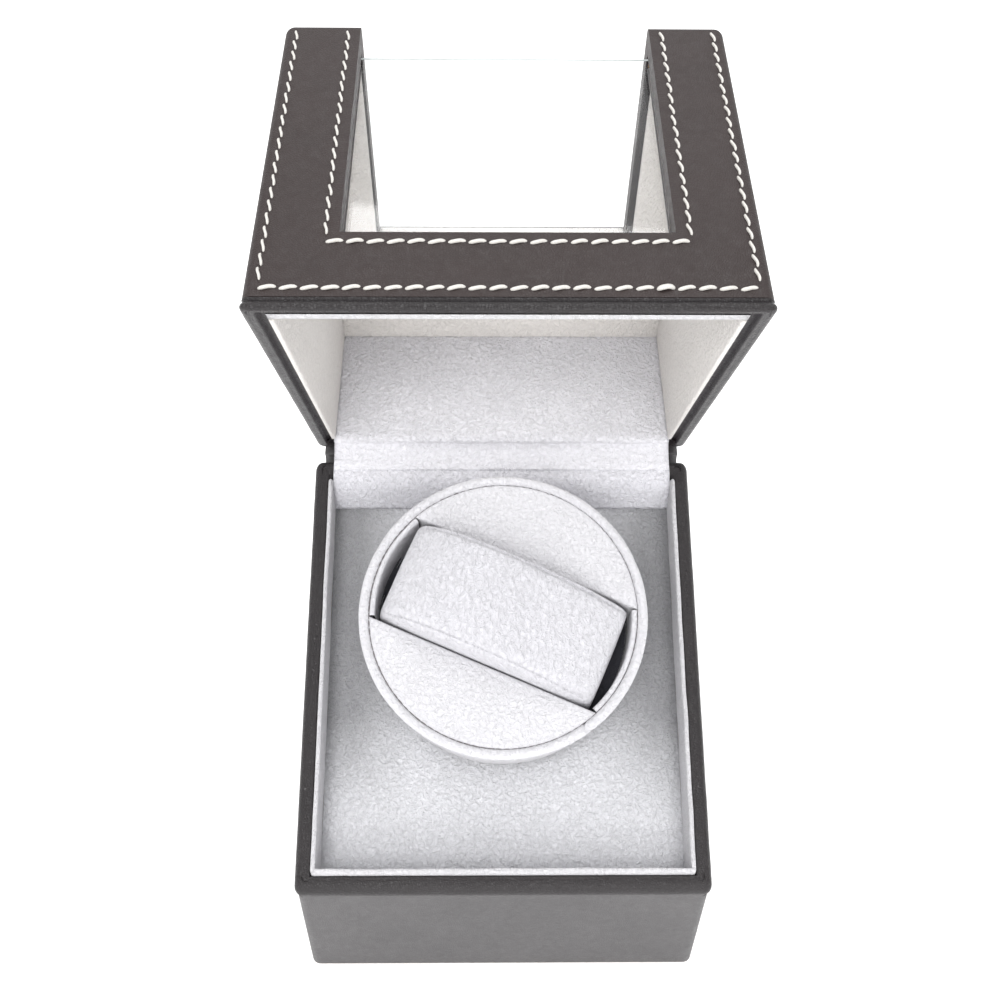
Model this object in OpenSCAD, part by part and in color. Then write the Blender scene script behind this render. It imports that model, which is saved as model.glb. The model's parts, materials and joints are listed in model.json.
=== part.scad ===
// Single watch winder: a leather-covered box with a slanted opening, a windowed
// lid on a rear hinge, and a motor-driven drum that carries one watch cushion.
// Millimetres. X right, Y towards the back, Z up, origin under the box centre.

/* [Box] */
// outside width
body_w = 110; // [104:1:118]
// outside depth
body_d = 110; // [104:1:118]
// height of the base at the front edge, above the pad
front_h = 46; // [44:1:52]
// height of the base at the back edge, above the pad
back_h = 97.5; // [94:0.5:102]
// height of the closed box above the pad
total_h = 145.5; // [140:0.5:152]
// thickness of the felt pad underneath
foot_h = 1.5; // [1:0.5:3]
// angle the lid stands open, from closed
open_angle = 80.84; // [0:1:90]

/* [Lid window] */
// clear width of the window
win_w = 72; // [60:1:80]
// height of the frame strip under the window
win_strip = 22.7; // [15:0.1:30]
// how far back the window runs on the top, from the box centre
win_back = 11; // [0:1:20]

/* [Drum] */
// slope of the deck and tilt of the drum
deck_slope = 26.5; // [25:0.5:28]
// distance from the box centre back to the drum's foot
drum_y = 13; // [12:0.5:13.5]
// height of the drum's foot above the pad
drum_z = 66.5; // [65:0.5:68]
// outside radius over the rolled ring
drum_r = 38.9; // [38:0.1:39.2]
// height of the drum's face above the deck
drum_h = 29; // [27:1:31]
// angle of the cushion slot, seen on the face
slot_turn = -23.3; // [-90:1:90]

/* [Hidden] */
$fn = 48;

hw = body_w / 2;
hd = body_d / 2;
skin = 0.6;            // leather thickness
corner_r = 2.5;        // rounding of the covered corners
board = 2.7;           // base side boards
front_board = 2;
back_board = 4.2;      // base back board
front_z = foot_h + front_h;
back_z = foot_h + back_h;
top_z = foot_h + total_h;
rim_slope = atan((back_h - front_h) / body_d);
rim_r = 2.1;           // half the height of the base's rolled rim
lid_rim_r = 1.3;       // half the height of the lid's rolled rim
rim_over = 0.4;        // rim overhang
rim_v = 2 * rim_r / cos(rim_slope);
lid_gap = 0.4;         // gap between the closed rims
slit = 0.05;           // joint between pieces of one frame
liner_in = hw - 5.1;   // inside face of the side liners, from the centre
liner_front = hd - 4.3;
liner_back = hd - 7;
liner_t = 1.6;
liner_up = 1.2;        // how far the liner stands above the rim
function rim_z(y) = front_z + (y + hd) * tan(rim_slope);

// deck and drum frame
foot_z = foot_h + drum_z;
suede_t = 0.7;
deck_t = 3;
function deck_z(y) = foot_z + (y - drum_y) * tan(deck_slope);

// lid
lid_board = 4;
lid_front = 5;         // leather and board together, front and top
liner_l = 1.2;
pane = 2;
pane_hw = win_w / 2 + 6;
win_z = front_z + win_strip;
pad_t = 3.2;           // pocketed liner behind the window frame

// hinge
piv_y = hd + 2.6;
piv_z = back_z - 4.6;
knuckle_r = 2.3;
pin_r = 1;
hinge_hw = 46;
spine_hw = 53;
strip_hw = 49.5;
leaf_y = hd + 0.6;
leaf_t = 0.5;
pad_y = hd;
screw_x = [-38, -19, 0, 19, 38];

// gears
mod_g = 0.8;
z_out = 36;
z_small = 12;
z_big = 30;
mesh_gap = 0.15;
idler_x = mod_g * (z_out + z_small) / 2 + mesh_gap;
motor_c = mod_g * (z_big + z_small) / 2 + mesh_gap;
motor_a = 230;         // direction from the idler to the motor
motor_x = idler_x + motor_c * cos(motor_a);
motor_y = motor_c * sin(motor_a);

// slot in the drum and its cushion
slot_r = 34.6;         // the slot's ends follow the drum
slot_w = 30.2;
slot_floor = 11;
lining = 0.6;
cush_l = 60;
cush_w = 28.4;
ring_r = 1.35;
shell_r = drum_r - 2.7; // inside radius of the drum wall

// back panel fittings
jack_x = 24;
jack_z = 24;
switch_x = -24;
switch_z = 24;

// ---------- helpers ----------
module yz(w) {
    rotate([90, 0, 90]) linear_extrude(w, center = true) children();
}

module rrect(w, d, r) {
    square([w - 2 * r, d], center = true);
    square([w, d - 2 * r], center = true);
    for (x = [-1, 1], y = [-1, 1])
        translate([x * (w / 2 - r), y * (d / 2 - r)]) circle(r);
}

// box with rounded upright edges and a rounded top edge
module soft_box(w, d, h, r) {
    linear_extrude(h - r) rrect(w, d, r);
    linear_extrude(h) square([w - 2 * r, d - 2 * r], center = true);
    for (s = [-1, 1]) {
        translate([0, s * (d / 2 - r), h - r])
            rotate([0, 90, 0]) cylinder(r = r, h = w - 2 * r, center = true);
        translate([s * (w / 2 - r), 0, h - r])
            rotate([90, 0, 0]) cylinder(r = r, h = d - 2 * r, center = true);
        for (t = [-1, 1])
            translate([s * (w / 2 - r), t * (d / 2 - r), h - r]) sphere(r);
    }
}

// everything below / above a plane parallel to the rim, shifted upright by k
module below_rim(k) {
    yz(2 * body_w) polygon([[-2 * hd, -50], [2 * hd, -50],
        [2 * hd, rim_z(2 * hd) + k], [-2 * hd, rim_z(-2 * hd) + k]]);
}

module above_rim(k) {
    yz(2 * body_w) polygon([[-2 * hd, rim_z(-2 * hd) + k],
        [2 * hd, rim_z(2 * hd) + k], [2 * hd, 2 * top_z], [-2 * hd, 2 * top_z]]);
}

module block(x0, x1, y0, y1, z0, z1) {
    translate([x0, y0, z0]) cube([x1 - x0, y1 - y0, z1 - z0]);
}

module both_sides() {
    children();
    mirror([1, 0, 0]) children();
}

// frame of the deck: Z stands square on the deck at the drum's foot
module drum_frame() {
    translate([0, drum_y, foot_z]) rotate([deck_slope, 0, 0]) children();
}

module slot_frame() {
    drum_frame() rotate([0, 0, slot_turn]) children();
}

// turns the closed lid open about the hinge
module lid_pose() {
    translate([0, piv_y, piv_z]) rotate([-open_angle, 0, 0])
        translate([0, -piv_y, -piv_z]) children();
}

// one rim's section, running inwards to -X from the bead at the origin
module rim_solid(r, d) {
    circle(r);
    translate([-d, -r]) square([d, 2 * r]);
}

// thin tongue on the far side of the rim
module rim_tongue(r, c) {
    translate([-c, r - 1.2]) square([c, 1.2]);
}

// keeps what lies further from the middle than y, on side s of the YZ plane
module beyond(s, y) {
    translate([s > 0 ? y : -99, -20]) square([99 - y, 200]);
}

// rolled rim in four mitred strips; up = 1 above the plane k, -1 below it
// ins, ends: where the solid part and the tongue stop on [sides, front, back]
module rim_strips(up, k, r, ins, ends) {
    cs = hw + rim_over - r;
    cb = hd - r;
    dz = k + up * r / cos(rim_slope);
    g = slit / 2;
    both_sides() intersection() {
        translate([cs, 0, rim_z(0) + dz]) rotate([90 + rim_slope, 0, 0])
            linear_extrude(2 * body_d, center = true) {
                intersection() {
                    rim_solid(r, 9);
                    translate([ins[0] - cs, -9]) square([99, 18]);
                }
                if (ends[0] < ins[0]) rim_tongue(r, cs - ends[0]);
            }
        linear_extrude(2 * top_z) polygon([[5, -5 + g], [80, -80 + g],
            [80, 80 - rim_over - g], [5, 5 - rim_over - g]]);
    }
    intersection() {
        yz(2 * body_w) {
            intersection() {
                translate([-cs, rim_z(-cs) + dz]) rotate(rim_slope) mirror([1, 0])
                    rim_solid(r, 9);
                beyond(-1, ins[1]);
            }
            if (ends[1] < ins[1]) intersection() {
                translate([-cs, rim_z(-cs) + dz]) rotate(rim_slope) mirror([1, 0])
                    rim_tongue(r, 9);
                beyond(-1, ends[1]);
            }
        }
        linear_extrude(2 * top_z)
            polygon([[0, -g], [-80, -80 - g], [80, -80 - g]]);
    }
    intersection() {
        yz(2 * body_w) {
            intersection() {
                translate([cb, rim_z(cb) + dz]) rotate(rim_slope) rim_solid(r, 9);
                beyond(1, max(ins[2], ends[2]));
            }
            if (ends[2] < ins[2]) intersection() {
                translate([cb, rim_z(cb) + dz]) rotate(rim_slope) rim_tongue(r, 9);
                beyond(1, ends[2]);
            }
        }
        linear_extrude(2 * top_z) polygon([[0, -rim_over + g],
            [80, 80 - rim_over + g], [-80, 80 - rim_over + g]]);
    }
}

// ---------- base ----------
module base_volume() {
    difference() {
        linear_extrude(2 * top_z) rrect(body_w - 2 * skin, body_d - 2 * skin, corner_r - skin);
        linear_extrude(foot_h) square(2 * body_w, center = true);
        above_rim(-rim_v);
    }
}

module rear_holes() {
    translate([jack_x, hd + 5, jack_z]) rotate([90, 0, 0]) cylinder(r = 4.05, h = 20);
    block(switch_x - 6.6, switch_x + 6.6, hd - 15, hd + 5, switch_z - 9.6, switch_z + 9.6);
    for (x = screw_x)
        translate([x, hd + 5, piv_z - 9]) rotate([90, 0, 0]) cylinder(r = 1, h = 8.5);
}

module base_front_board() {
    color([0.62, 0.5, 0.36]) intersection() {
        base_volume();
        block(-hw + skin + board, hw - skin - board, -hd, -hd + skin + front_board, 0, top_z);
    }
}

module base_back_board() {
    color([0.62, 0.5, 0.36]) difference() {
        intersection() {
            base_volume();
            block(-hw + skin + board, hw - skin - board, hd - skin - back_board, hd, 0, top_z);
        }
        rear_holes();
    }
}

module base_side_boards() {
    color([0.62, 0.5, 0.36]) both_sides() intersection() {
        base_volume();
        block(hw - skin - board, hw, -hd, hd, 0, top_z);
    }
}

module base_wrap() {
    color([0.2, 0.17, 0.16]) difference() {
        translate([0, 0, foot_h]) linear_extrude(top_z) rrect(body_w, body_d, corner_r);
        linear_extrude(2 * top_z)
            rrect(body_w - 2 * skin, body_d - 2 * skin, corner_r - skin);
        above_rim(-rim_v);
        rear_holes();
    }
}

function rim_stop(k) = [liner_in + k, liner_front + k, liner_back + k];

module base_rim() {
    color([0.14, 0.12, 0.12])
        rim_strips(-1, 0, rim_r, rim_stop(liner_t + slit), rim_stop(liner_t + slit));
}

module liner_side() {
    r = liner_t / 2;
    dz = liner_up - r / cos(rim_slope);
    intersection() {
        translate([liner_in + r, 0, rim_z(0) + dz]) rotate([90 + rim_slope, 0, 0])
            linear_extrude(2 * body_d, center = true) {
                circle(r);
                translate([-r, -60]) square([2 * r, 60]);
            }
        block(0, hw, -liner_front - liner_t, liner_back + liner_t, 0, 2 * top_z);
        yz(2 * body_w) polygon([[-hd, deck_z(-hd) - 9], [hd, deck_z(hd) - 9],
            [hd, 2 * top_z], [-hd, 2 * top_z]]);
    }
}

module liner_end(y) {
    r = liner_t / 2;
    z = rim_z(y) + liner_up - r / cos(rim_slope);
    yz(2 * liner_in - 2 * slit) {
        translate([y, z]) circle(r);
        polygon([[y - r, deck_z(y - r) - 9], [y + r, deck_z(y + r) - 9],
            [y + r, z], [y - r, z]]);
    }
}

module base_liner() {
    color([0.86, 0.85, 0.84]) {
        both_sides() liner_side();
        liner_end(-liner_front - liner_t / 2);
        liner_end(liner_back + liner_t / 2);
    }
}

// slab between two depths under the deck's top face, inside the liner
module deck_slab(z0, z1) {
    intersection() {
        drum_frame() block(-hw, hw, -body_d, body_d, z0, z1);
        block(-liner_in + slit, liner_in - slit, -liner_front + slit, liner_back - slit, 0, top_z);
    }
}

ear_pts = [[-15, 17], [31, 17], [-15, -21], [31, -21]];

module deck_board() {
    color([0.62, 0.5, 0.36]) difference() {
        deck_slab(-suede_t - deck_t, -suede_t);
        drum_frame() {
            translate([0, 0, -10]) cylinder(r = 4.2, h = 20);
            for (p = ear_pts)
                translate([p[0], p[1], -suede_t - deck_t - 1]) cylinder(r = 1.15, h = 3.4);
        }
    }
}

module deck_suede() {
    color([0.8, 0.79, 0.79]) difference() {
        deck_slab(-suede_t, 0);
        drum_frame() translate([0, 0, -10]) cylinder(r = 5.4, h = 20);
    }
}

module deck_cleats() {
    color([0.66, 0.54, 0.4]) both_sides() intersection() {
        drum_frame() block(liner_in - 6, liner_in, -body_d, body_d,
            -suede_t - deck_t - 5, -suede_t - deck_t);
        block(0, liner_in, -liner_in + 2, liner_back - 2, 0, top_z);
    }
}

module bottom_panel() {
    inner = hw - skin - board;
    color([0.3, 0.27, 0.25]) difference() {
        block(-inner, inner, -inner, hd - skin - back_board, foot_h, foot_h + 3);
        for (x = [-45, 45], y = [-45, 43]) translate([x, y, foot_h - 1]) {
            cylinder(r = 1.5, h = 10);
            translate([0, 0, 1]) cylinder(r1 = 3, r2 = 1.5, h = 1.5);
        }
    }
    color([0.62, 0.5, 0.36]) for (x = [-45, 45], y = [-45, 43]) difference() {
        block(x - 4, x + 4, y - 4, y + 4, foot_h + 3, foot_h + 13);
        translate([x, y, 0]) cylinder(r = 1.5, h = foot_h + 11);
    }
}

module bottom_screws() {
    color([0.6, 0.6, 0.62]) for (x = [-45, 45], y = [-45, 43])
        translate([x, y, foot_h]) difference() {
            union() {
                cylinder(r1 = 3, r2 = 1.5, h = 1.5);
                cylinder(r = 1.5, h = 10);
            }
            for (a = [0, 90]) rotate([0, 0, a])
                translate([-1.6, -0.3, -0.1]) cube([3.2, 0.6, 1]);
        }
}

module base_pad() {
    color([0.08, 0.08, 0.08]) difference() {
        linear_extrude(foot_h) rrect(body_w - 6, body_d - 6, 3);
        for (x = [-45, 45], y = [-45, 43]) translate([x, y, -1]) cylinder(r = 3.6, h = 5);
    }
}

// ---------- drive under the deck ----------
case_top = -suede_t - deck_t - 2;
case_bot = case_top - 11.5;

module case_outline(k) {
    translate([-17.2 - k, -23 - k]) square([50.4 + 2 * k, 42 + 2 * k]);
}

module gearbox_case() {
    color([0.9, 0.9, 0.88]) drum_frame() difference() {
        union() {
            translate([0, 0, case_bot]) linear_extrude(case_top - case_bot) case_outline(1.6);
            for (p = ear_pts) translate([p[0], p[1], case_bot])
                cylinder(r = 2.8, h = case_top - case_bot);
        }
        difference() {
            translate([0, 0, case_bot + 1.6])
                linear_extrude(20) case_outline(0);
            for (p = ear_pts) translate([p[0], p[1], case_bot])
                cylinder(r = 2.8, h = case_top - case_bot);
        }
        for (p = ear_pts) translate([p[0], p[1], case_bot - 1]) cylinder(r = 1.2, h = 30);
        translate([0, 0, case_bot - 1]) cylinder(r = 2.55, h = 10);
        translate([idler_x, 0, case_bot - 1]) cylinder(r = 1.5, h = 10);
        translate([motor_x, motor_y, case_bot - 1]) cylinder(r = 3, h = 10);
    }
}

module gearbox_cover() {
    color([0.86, 0.86, 0.84]) drum_frame() difference() {
        translate([0, 0, case_top]) linear_extrude(2) case_outline(1.6);
        translate([0, 0, case_top - 1]) cylinder(r = 4.2, h = 10);
        translate([idler_x, 0, case_top - 1]) cylinder(r = 1.5, h = 10);
        for (p = ear_pts) translate([p[0], p[1], case_top - 1]) cylinder(r = 1.2, h = 10);
    }
}

module gearbox_screws() {
    color([0.6, 0.6, 0.62]) drum_frame() for (p = ear_pts)
        translate([p[0], p[1], case_bot]) difference() {
            union() {
                translate([0, 0, -1.6]) cylinder(r = 2.4, h = 1.6);
                cylinder(r = 1.1, h = 15.6);
            }
            for (a = [0, 90]) rotate([0, 0, a])
                translate([-1.5, -0.3, -1.7]) cube([3, 0.6, 0.9]);
        }
}

module gear_post() {
    color([0.7, 0.7, 0.72]) drum_frame() translate([idler_x, 0, case_bot])
        cylinder(r = 1.5, h = case_top + 2 - case_bot);
}

module spindle_bush() {
    color([0.75, 0.6, 0.3]) drum_frame() difference() {
        union() {
            translate([0, 0, case_top]) cylinder(r = 4.2, h = -case_top - suede_t);
            translate([0, 0, -suede_t]) cylinder(r = 5.4, h = 0.8);
        }
        translate([0, 0, case_top - 1]) cylinder(r = 2.56, h = 10);
    }
}

module motor_can() {
    color([0.7, 0.71, 0.73]) drum_frame() translate([motor_x, motor_y, case_bot]) difference() {
        union() {
            translate([0, 0, -24]) cylinder(r = 10, h = 24);
            cylinder(r = 3, h = 1.6);
            translate([0, 0, -26]) cylinder(r = 3.5, h = 2);
        }
        translate([0, 0, -8]) cylinder(r = 1.05, h = 12);
    }
    color([0.75, 0.6, 0.3]) drum_frame() for (s = [-1, 1])
        translate([motor_x + s * 6, motor_y - 0.4, case_bot - 28]) cube([1.8, 0.8, 4]);
}

// involute gear outline
function inv(r, rb) = sqrt(pow(r / rb, 2) - 1) * 180 / PI - acos(rb / r);
function half_angle(r, rp, n) = let (rb = rp * cos(25), q = max(r, rb + 0.001))
    90 / n + inv(rp, rb) - inv(q, rb) - 0.1 / rp * 180 / PI;
function tooth_radii(rp) = [rp - 1.1 * mod_g, rp - 0.55 * mod_g, rp - 0.2 * mod_g,
    rp + 0.25 * mod_g, rp + 0.75 * mod_g];
function polar(r, a) = [r * cos(a), r * sin(a)];

module gear_outline(n) {
    rp = mod_g * n / 2;
    rr = tooth_radii(rp);
    polygon([for (k = [0:n - 1], j = [0:9])
        let (i = j < 5 ? j : 9 - j, s = j < 5 ? -1 : 1, r = rr[i])
        polar(r, k * 360 / n + s * half_angle(r, rp, n))]);
}

out_z = case_top - 4;
low_z = case_bot + 2.4;
// turned so that a gap of the idler's small gear faces a tooth of the output gear
idler_turn = 180 + 180 / z_small;
// angle from the nearest tooth of the idler's big gear to the line of centres
big_off = motor_a - idler_turn - round((motor_a - idler_turn) * z_big / 360) * 360 / z_big;
pinion_turn = motor_a + 180 + 180 / z_small + big_off * z_big / z_small;

module output_gear() {
    color([0.93, 0.92, 0.88]) drum_frame() translate([0, 0, out_z]) difference() {
        union() {
            linear_extrude(3) gear_outline(z_out);
            translate([0, 0, -3]) cylinder(r = 5, h = 6.6);
        }
        translate([0, 0, -5]) cylinder(r = 2.5, h = 12);
    }
}

module idler_gear() {
    color([0.93, 0.92, 0.88]) drum_frame() translate([idler_x, 0, 0])
        rotate([0, 0, idler_turn]) difference() {
            union() {
                translate([0, 0, low_z]) linear_extrude(3) gear_outline(z_big);
                translate([0, 0, low_z + 3]) linear_extrude(out_z + 3.4 - low_z - 3)
                    gear_outline(z_small);
            }
            translate([0, 0, case_bot]) cylinder(r = 1.55, h = 20);
        }
}

module motor_pinion() {
    color([0.8, 0.66, 0.35]) drum_frame() translate([motor_x, motor_y, low_z - 0.2])
        rotate([0, 0, pinion_turn]) difference() {
            linear_extrude(3.2) gear_outline(z_small);
            translate([0, 0, -1]) cylinder(r = 1, h = 6);
        }
}

module motor_shaft() {
    color([0.7, 0.7, 0.72]) drum_frame()
        translate([motor_x, motor_y, case_bot - 7]) cylinder(r = 1, h = low_z + 3.4 - case_bot + 7);
}

module spindle() {
    color([0.7, 0.7, 0.72]) drum_frame() difference() {
        translate([0, 0, case_bot]) cylinder(r = 2.5, h = 7 - case_bot);
        translate([0, 0, 1]) cylinder(r = 1.25, h = 10);
    }
}

// ---------- drum ----------
wall_top = drum_h - 2 * ring_r;

module drum_base() {
    color([0.16, 0.16, 0.17]) drum_frame() difference() {
        union() {
            translate([0, 0, 1]) cylinder(r = shell_r, h = 2);
            translate([0, 0, 3]) cylinder(r = 6, h = 4);
        }
        cylinder(r = 2.5, h = 10);
    }
}

module drum_screw() {
    color([0.6, 0.6, 0.62]) drum_frame() {
        translate([0, 0, 7]) difference() {
            cylinder(r = 4, h = 2);
            for (a = [0, 90]) rotate([0, 0, a])
                translate([-2.4, -0.4, 1.1]) cube([4.8, 0.8, 1]);
        }
        translate([0, 0, 1.5]) cylinder(r = 1.25, h = 6);
    }
}

module drum_wall() {
    color([0.9, 0.89, 0.89]) drum_frame() difference() {
        translate([0, 0, 1]) cylinder(r1 = shell_r + 0.7, r2 = drum_r - 0.6, h = wall_top - 1);
        cylinder(r = shell_r, h = 40);
    }
}

module slot_cut(k, z0) {
    intersection() {
        rotate([0, 0, slot_turn]) translate([-50, -slot_w / 2 - k, z0]) cube([100, slot_w + 2 * k, 60]);
        cylinder(r = slot_r + k, h = 90);
    }
}

module drum_core() {
    color([0.25, 0.25, 0.26]) drum_frame() difference() {
        translate([0, 0, 3]) cylinder(r = shell_r, h = drum_h - 5);
        slot_cut(lining, slot_floor - lining);
        translate([0, 0, 2]) cylinder(r = 6, h = 10);
    }
}

module slot_lining() {
    color([0.84, 0.83, 0.83]) drum_frame() difference() {
        intersection() {
            slot_cut(lining, slot_floor - lining);
            cylinder(r = 60, h = drum_h - 2);
        }
        slot_cut(0, slot_floor);
    }
}

module drum_ring() {
    color([0.9, 0.89, 0.89]) drum_frame() translate([0, 0, drum_h - ring_r])
        rotate_extrude($fn = 96) translate([drum_r - ring_r, 0]) circle(ring_r, $fn = 24);
}

// two half-moon panels beside the slot and two lips at its ends
module drum_face() {
    r = shell_r - 0.2;
    c = slot_w / 2 + 0.4;
    color([0.93, 0.92, 0.92]) slot_frame() for (s = [0, 180]) rotate([0, 0, s]) {
        translate([0, 0, drum_h - 2]) linear_extrude(1.6) intersection() {
            circle(r);
            translate([-50, c]) square([100, 50]);
        }
        translate([0, 0, drum_h - 2]) linear_extrude(1.2) intersection() {
            difference() {
                circle(r);
                circle(slot_r + 0.3);
            }
            translate([0, -c + 0.4]) square([50, 2 * c - 0.8]);
        }
    }
}

// ---------- cushion ----------
// crowned block: k is taken off every side
module crowned(k) {
    z0 = slot_floor + 0.8;
    top = drum_h + 8;
    intersection() {
        translate([0, 0, top - 24]) rotate([0, 90, 0])
            cylinder(r = 24 - k, h = cush_l - 2 * k, center = true);
        translate([0, 0, top - 90]) rotate([90, 0, 0])
            cylinder(r = 90 - k, h = cush_w - 2 * k, center = true, $fn = 96);
        block(-cush_l / 2 + k, cush_l / 2 - k, -cush_w / 2 + k, cush_w / 2 - k, z0 + k, top);
    }
}

module pillow_cover() {
    color([0.93, 0.92, 0.93]) slot_frame() difference() {
        crowned(0);
        crowned(0.9);
    }
}

module pillow_core() {
    color([0.95, 0.9, 0.7]) slot_frame() crowned(0.9);
}

// ---------- fittings in the back ----------
module dc_jack() {
    color([0.1, 0.1, 0.1]) translate([jack_x, hd, jack_z]) rotate([-90, 0, 0]) difference() {
        union() {
            cylinder(r = 5.5, h = 2);
            translate([0, 0, -14]) cylinder(r = 4, h = 14);
        }
        translate([0, 0, -8]) cylinder(r = 2.8, h = 20);
    }
    color([0.75, 0.6, 0.3]) translate([jack_x, hd, jack_z]) rotate([-90, 0, 0]) {
        translate([0, 0, -8]) cylinder(r = 1, h = 9);
        for (s = [-1, 1]) translate([s * 2 - 0.8, -0.3, -18]) cube([1.6, 0.6, 4]);
    }
}

module jack_nut() {
    color([0.72, 0.72, 0.74]) translate([jack_x, hd - skin - back_board, jack_z])
        rotate([90, 0, 0]) difference() {
            cylinder(r = 6.2, h = 2, $fn = 6);
            translate([0, 0, -1]) cylinder(r = 4, h = 4);
        }
}

module switch_body() {
    color([0.09, 0.09, 0.09]) difference() {
        union() {
            block(switch_x - 7.5, switch_x + 7.5, hd, hd + 2, switch_z - 10.5, switch_z + 10.5);
            block(switch_x - 6.5, switch_x + 6.5, hd - 13, hd, switch_z - 9.5, switch_z + 9.5);
        }
        block(switch_x - 5, switch_x + 5, hd - 8, hd + 3, switch_z - 7.6, switch_z + 7.6);
        translate([switch_x, hd - 1, switch_z]) rotate([0, 90, 0])
            cylinder(r = 1.05, h = 12.4, center = true);
    }
    color([0.75, 0.6, 0.3]) for (s = [-1, 1])
        block(switch_x - 2, switch_x + 2, hd - 19, hd - 13, switch_z + s * 5, switch_z + s * 5 + 0.8);
}

module switch_rocker() {
    color([0.14, 0.14, 0.14]) translate([switch_x, hd - 1, switch_z]) rotate([-8, 0, 0]) {
        difference() {
            yz(9.2) polygon([[-3, -1.6], [-3, 1.6], [2.2, 7], [4.6, 6.6],
                [3.2, 0], [4.6, -6.6], [2.2, -7]]);
            rotate([0, 90, 0]) cylinder(r = 1, h = 20, center = true);
        }
        rotate([0, 90, 0]) cylinder(r = 1, h = 12, center = true);
    }
}

pcb_z = foot_h + 7;

module pcb() {
    color([0.1, 0.35, 0.2]) difference() {
        block(-30, 30, -42, -8, pcb_z, pcb_z + 1.6);
        for (x = [-26, 26], y = [-38, -12])
            translate([x, y, 0]) cylinder(r = 1.6, h = 30);
    }
}

module pcb_parts() {
    z = pcb_z + 1.6;
    color([0.1, 0.1, 0.11]) {
        block(-6, 6, -30, -26, z, z + 1.8);
        block(10, 16, -20, -14, z, z + 1.4);
        translate([-16, -30, z]) cylinder(r = 4, h = 9);
        translate([-16, -19, z]) cylinder(r = 2.5, h = 6);
    }
    color([0.95, 0.95, 0.93]) for (x = [-18, -2, 16]) difference() {
        block(x - 4, x + 4, -14, -9, z, z + 5);
        block(x - 3, x + 3, -13, -10, z + 1, z + 6);
    }
}

module pcb_standoffs() {
    color([0.9, 0.9, 0.88]) for (x = [-26, 26], y = [-38, -12]) translate([x, y, 0]) {
        translate([0, 0, foot_h + 3]) cylinder(r = 2.6, h = pcb_z - foot_h - 3);
        translate([0, 0, pcb_z]) cylinder(r = 1.5, h = 1.6);
        translate([0, 0, pcb_z + 1.6]) cylinder(r = 2.4, h = 1.2);
    }
}

module wire(pts, r) {
    for (i = [0:len(pts) - 2]) {
        a = pts[i];
        d = pts[i + 1] - a;
        l = norm(d);
        translate(a) rotate([0, acos(d[2] / l), atan2(d[1], d[0])]) cylinder(r = r, h = l, $fn = 16);
        translate(a) sphere(r * 1.05, $fn = 16);
    }
    translate(pts[len(pts) - 1]) sphere(r * 1.05, $fn = 16);
}

module wires() {
    y = -11.5;
    z = pcb_z + 3.6;
    color([0.7, 0.08, 0.06])
        wire([[jack_x - 2, 35.8, jack_z], [jack_x - 2, 24, 14], [16, 0, 17], [16, y, 19], [16, y, z]], 0.6);
    color([0.08, 0.08, 0.08])
        wire([[switch_x, 34.6, switch_z - 4.6], [switch_x, 22, 14], [-18, 0, 17], [-18, y, 19],
            [-18, y, z]], 0.6);
    color([0.1, 0.1, 0.5])
        wire([[-2, 16.4, 16], [-2, 0, 17], [-2, y, 19], [-2, y, z]], 0.6);
}

// ---------- hinge ----------
module leaf_screw_cut(z) {
    for (x = screw_x) translate([x, pad_y + 1.1, z]) rotate([90, 0, 0]) {
        cylinder(r1 = 1.9, r2 = 1, h = 0.9);
        cylinder(r = 1, h = 4.4);
    }
}

module knuckles(spans, bore) {
    for (s = spans) translate([s[0], piv_y, piv_z]) rotate([0, 90, 0])
        difference() {
            cylinder(r = knuckle_r, h = s[1] - s[0]);
            translate([0, 0, -1]) cylinder(r = bore, h = s[1] - s[0] + 2);
        }
}

base_spans = [[-46, -28], [-9, 9], [28, 46]];
lid_spans = [[-27.7, -9.3], [9.3, 27.7]];

module hinge_base_leaf() {
    color([0.75, 0.68, 0.5]) {
        knuckles(base_spans, pin_r);
        difference() {
            union() {
                block(-hinge_hw, hinge_hw, leaf_y, leaf_y + leaf_t, piv_z - 13, piv_z - 3);
                block(-hinge_hw, hinge_hw, pad_y, leaf_y + leaf_t, piv_z - 13, piv_z - 5);
                for (s = base_spans)
                    block(s[0], s[1], leaf_y, leaf_y + leaf_t, piv_z - 4, piv_z - 0.4);
            }
            leaf_screw_cut(piv_z - 9);
            translate([0, piv_y, piv_z]) rotate([0, 90, 0])
                cylinder(r = pin_r, h = 100, center = true);
        }
    }
}

module hinge_lid_leaf() {
    color([0.75, 0.68, 0.5]) lid_pose() {
        knuckles(lid_spans, pin_r + 0.05);
        difference() {
            union() {
                block(-hinge_hw, hinge_hw, leaf_y, leaf_y + leaf_t, piv_z + 3, piv_z + 20);
                block(-hinge_hw, hinge_hw, pad_y, leaf_y + leaf_t, piv_z + 12, piv_z + 20);
                for (s = lid_spans)
                    block(s[0], s[1], leaf_y, leaf_y + leaf_t, piv_z + 0.4, piv_z + 4);
            }
            leaf_screw_cut(piv_z + 16);
        }
    }
}

module hinge_pin() {
    color([0.7, 0.7, 0.72]) translate([-hinge_hw, piv_y, piv_z])
        rotate([0, 90, 0]) cylinder(r = pin_r, h = 2 * hinge_hw);
}

module hinge_base_screws() {
    color([0.6, 0.6, 0.62]) leaf_screw_cut(piv_z - 9);
}

module hinge_lid_screws() {
    color([0.6, 0.6, 0.62]) lid_pose() leaf_screw_cut(piv_z + 16);
}

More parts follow.
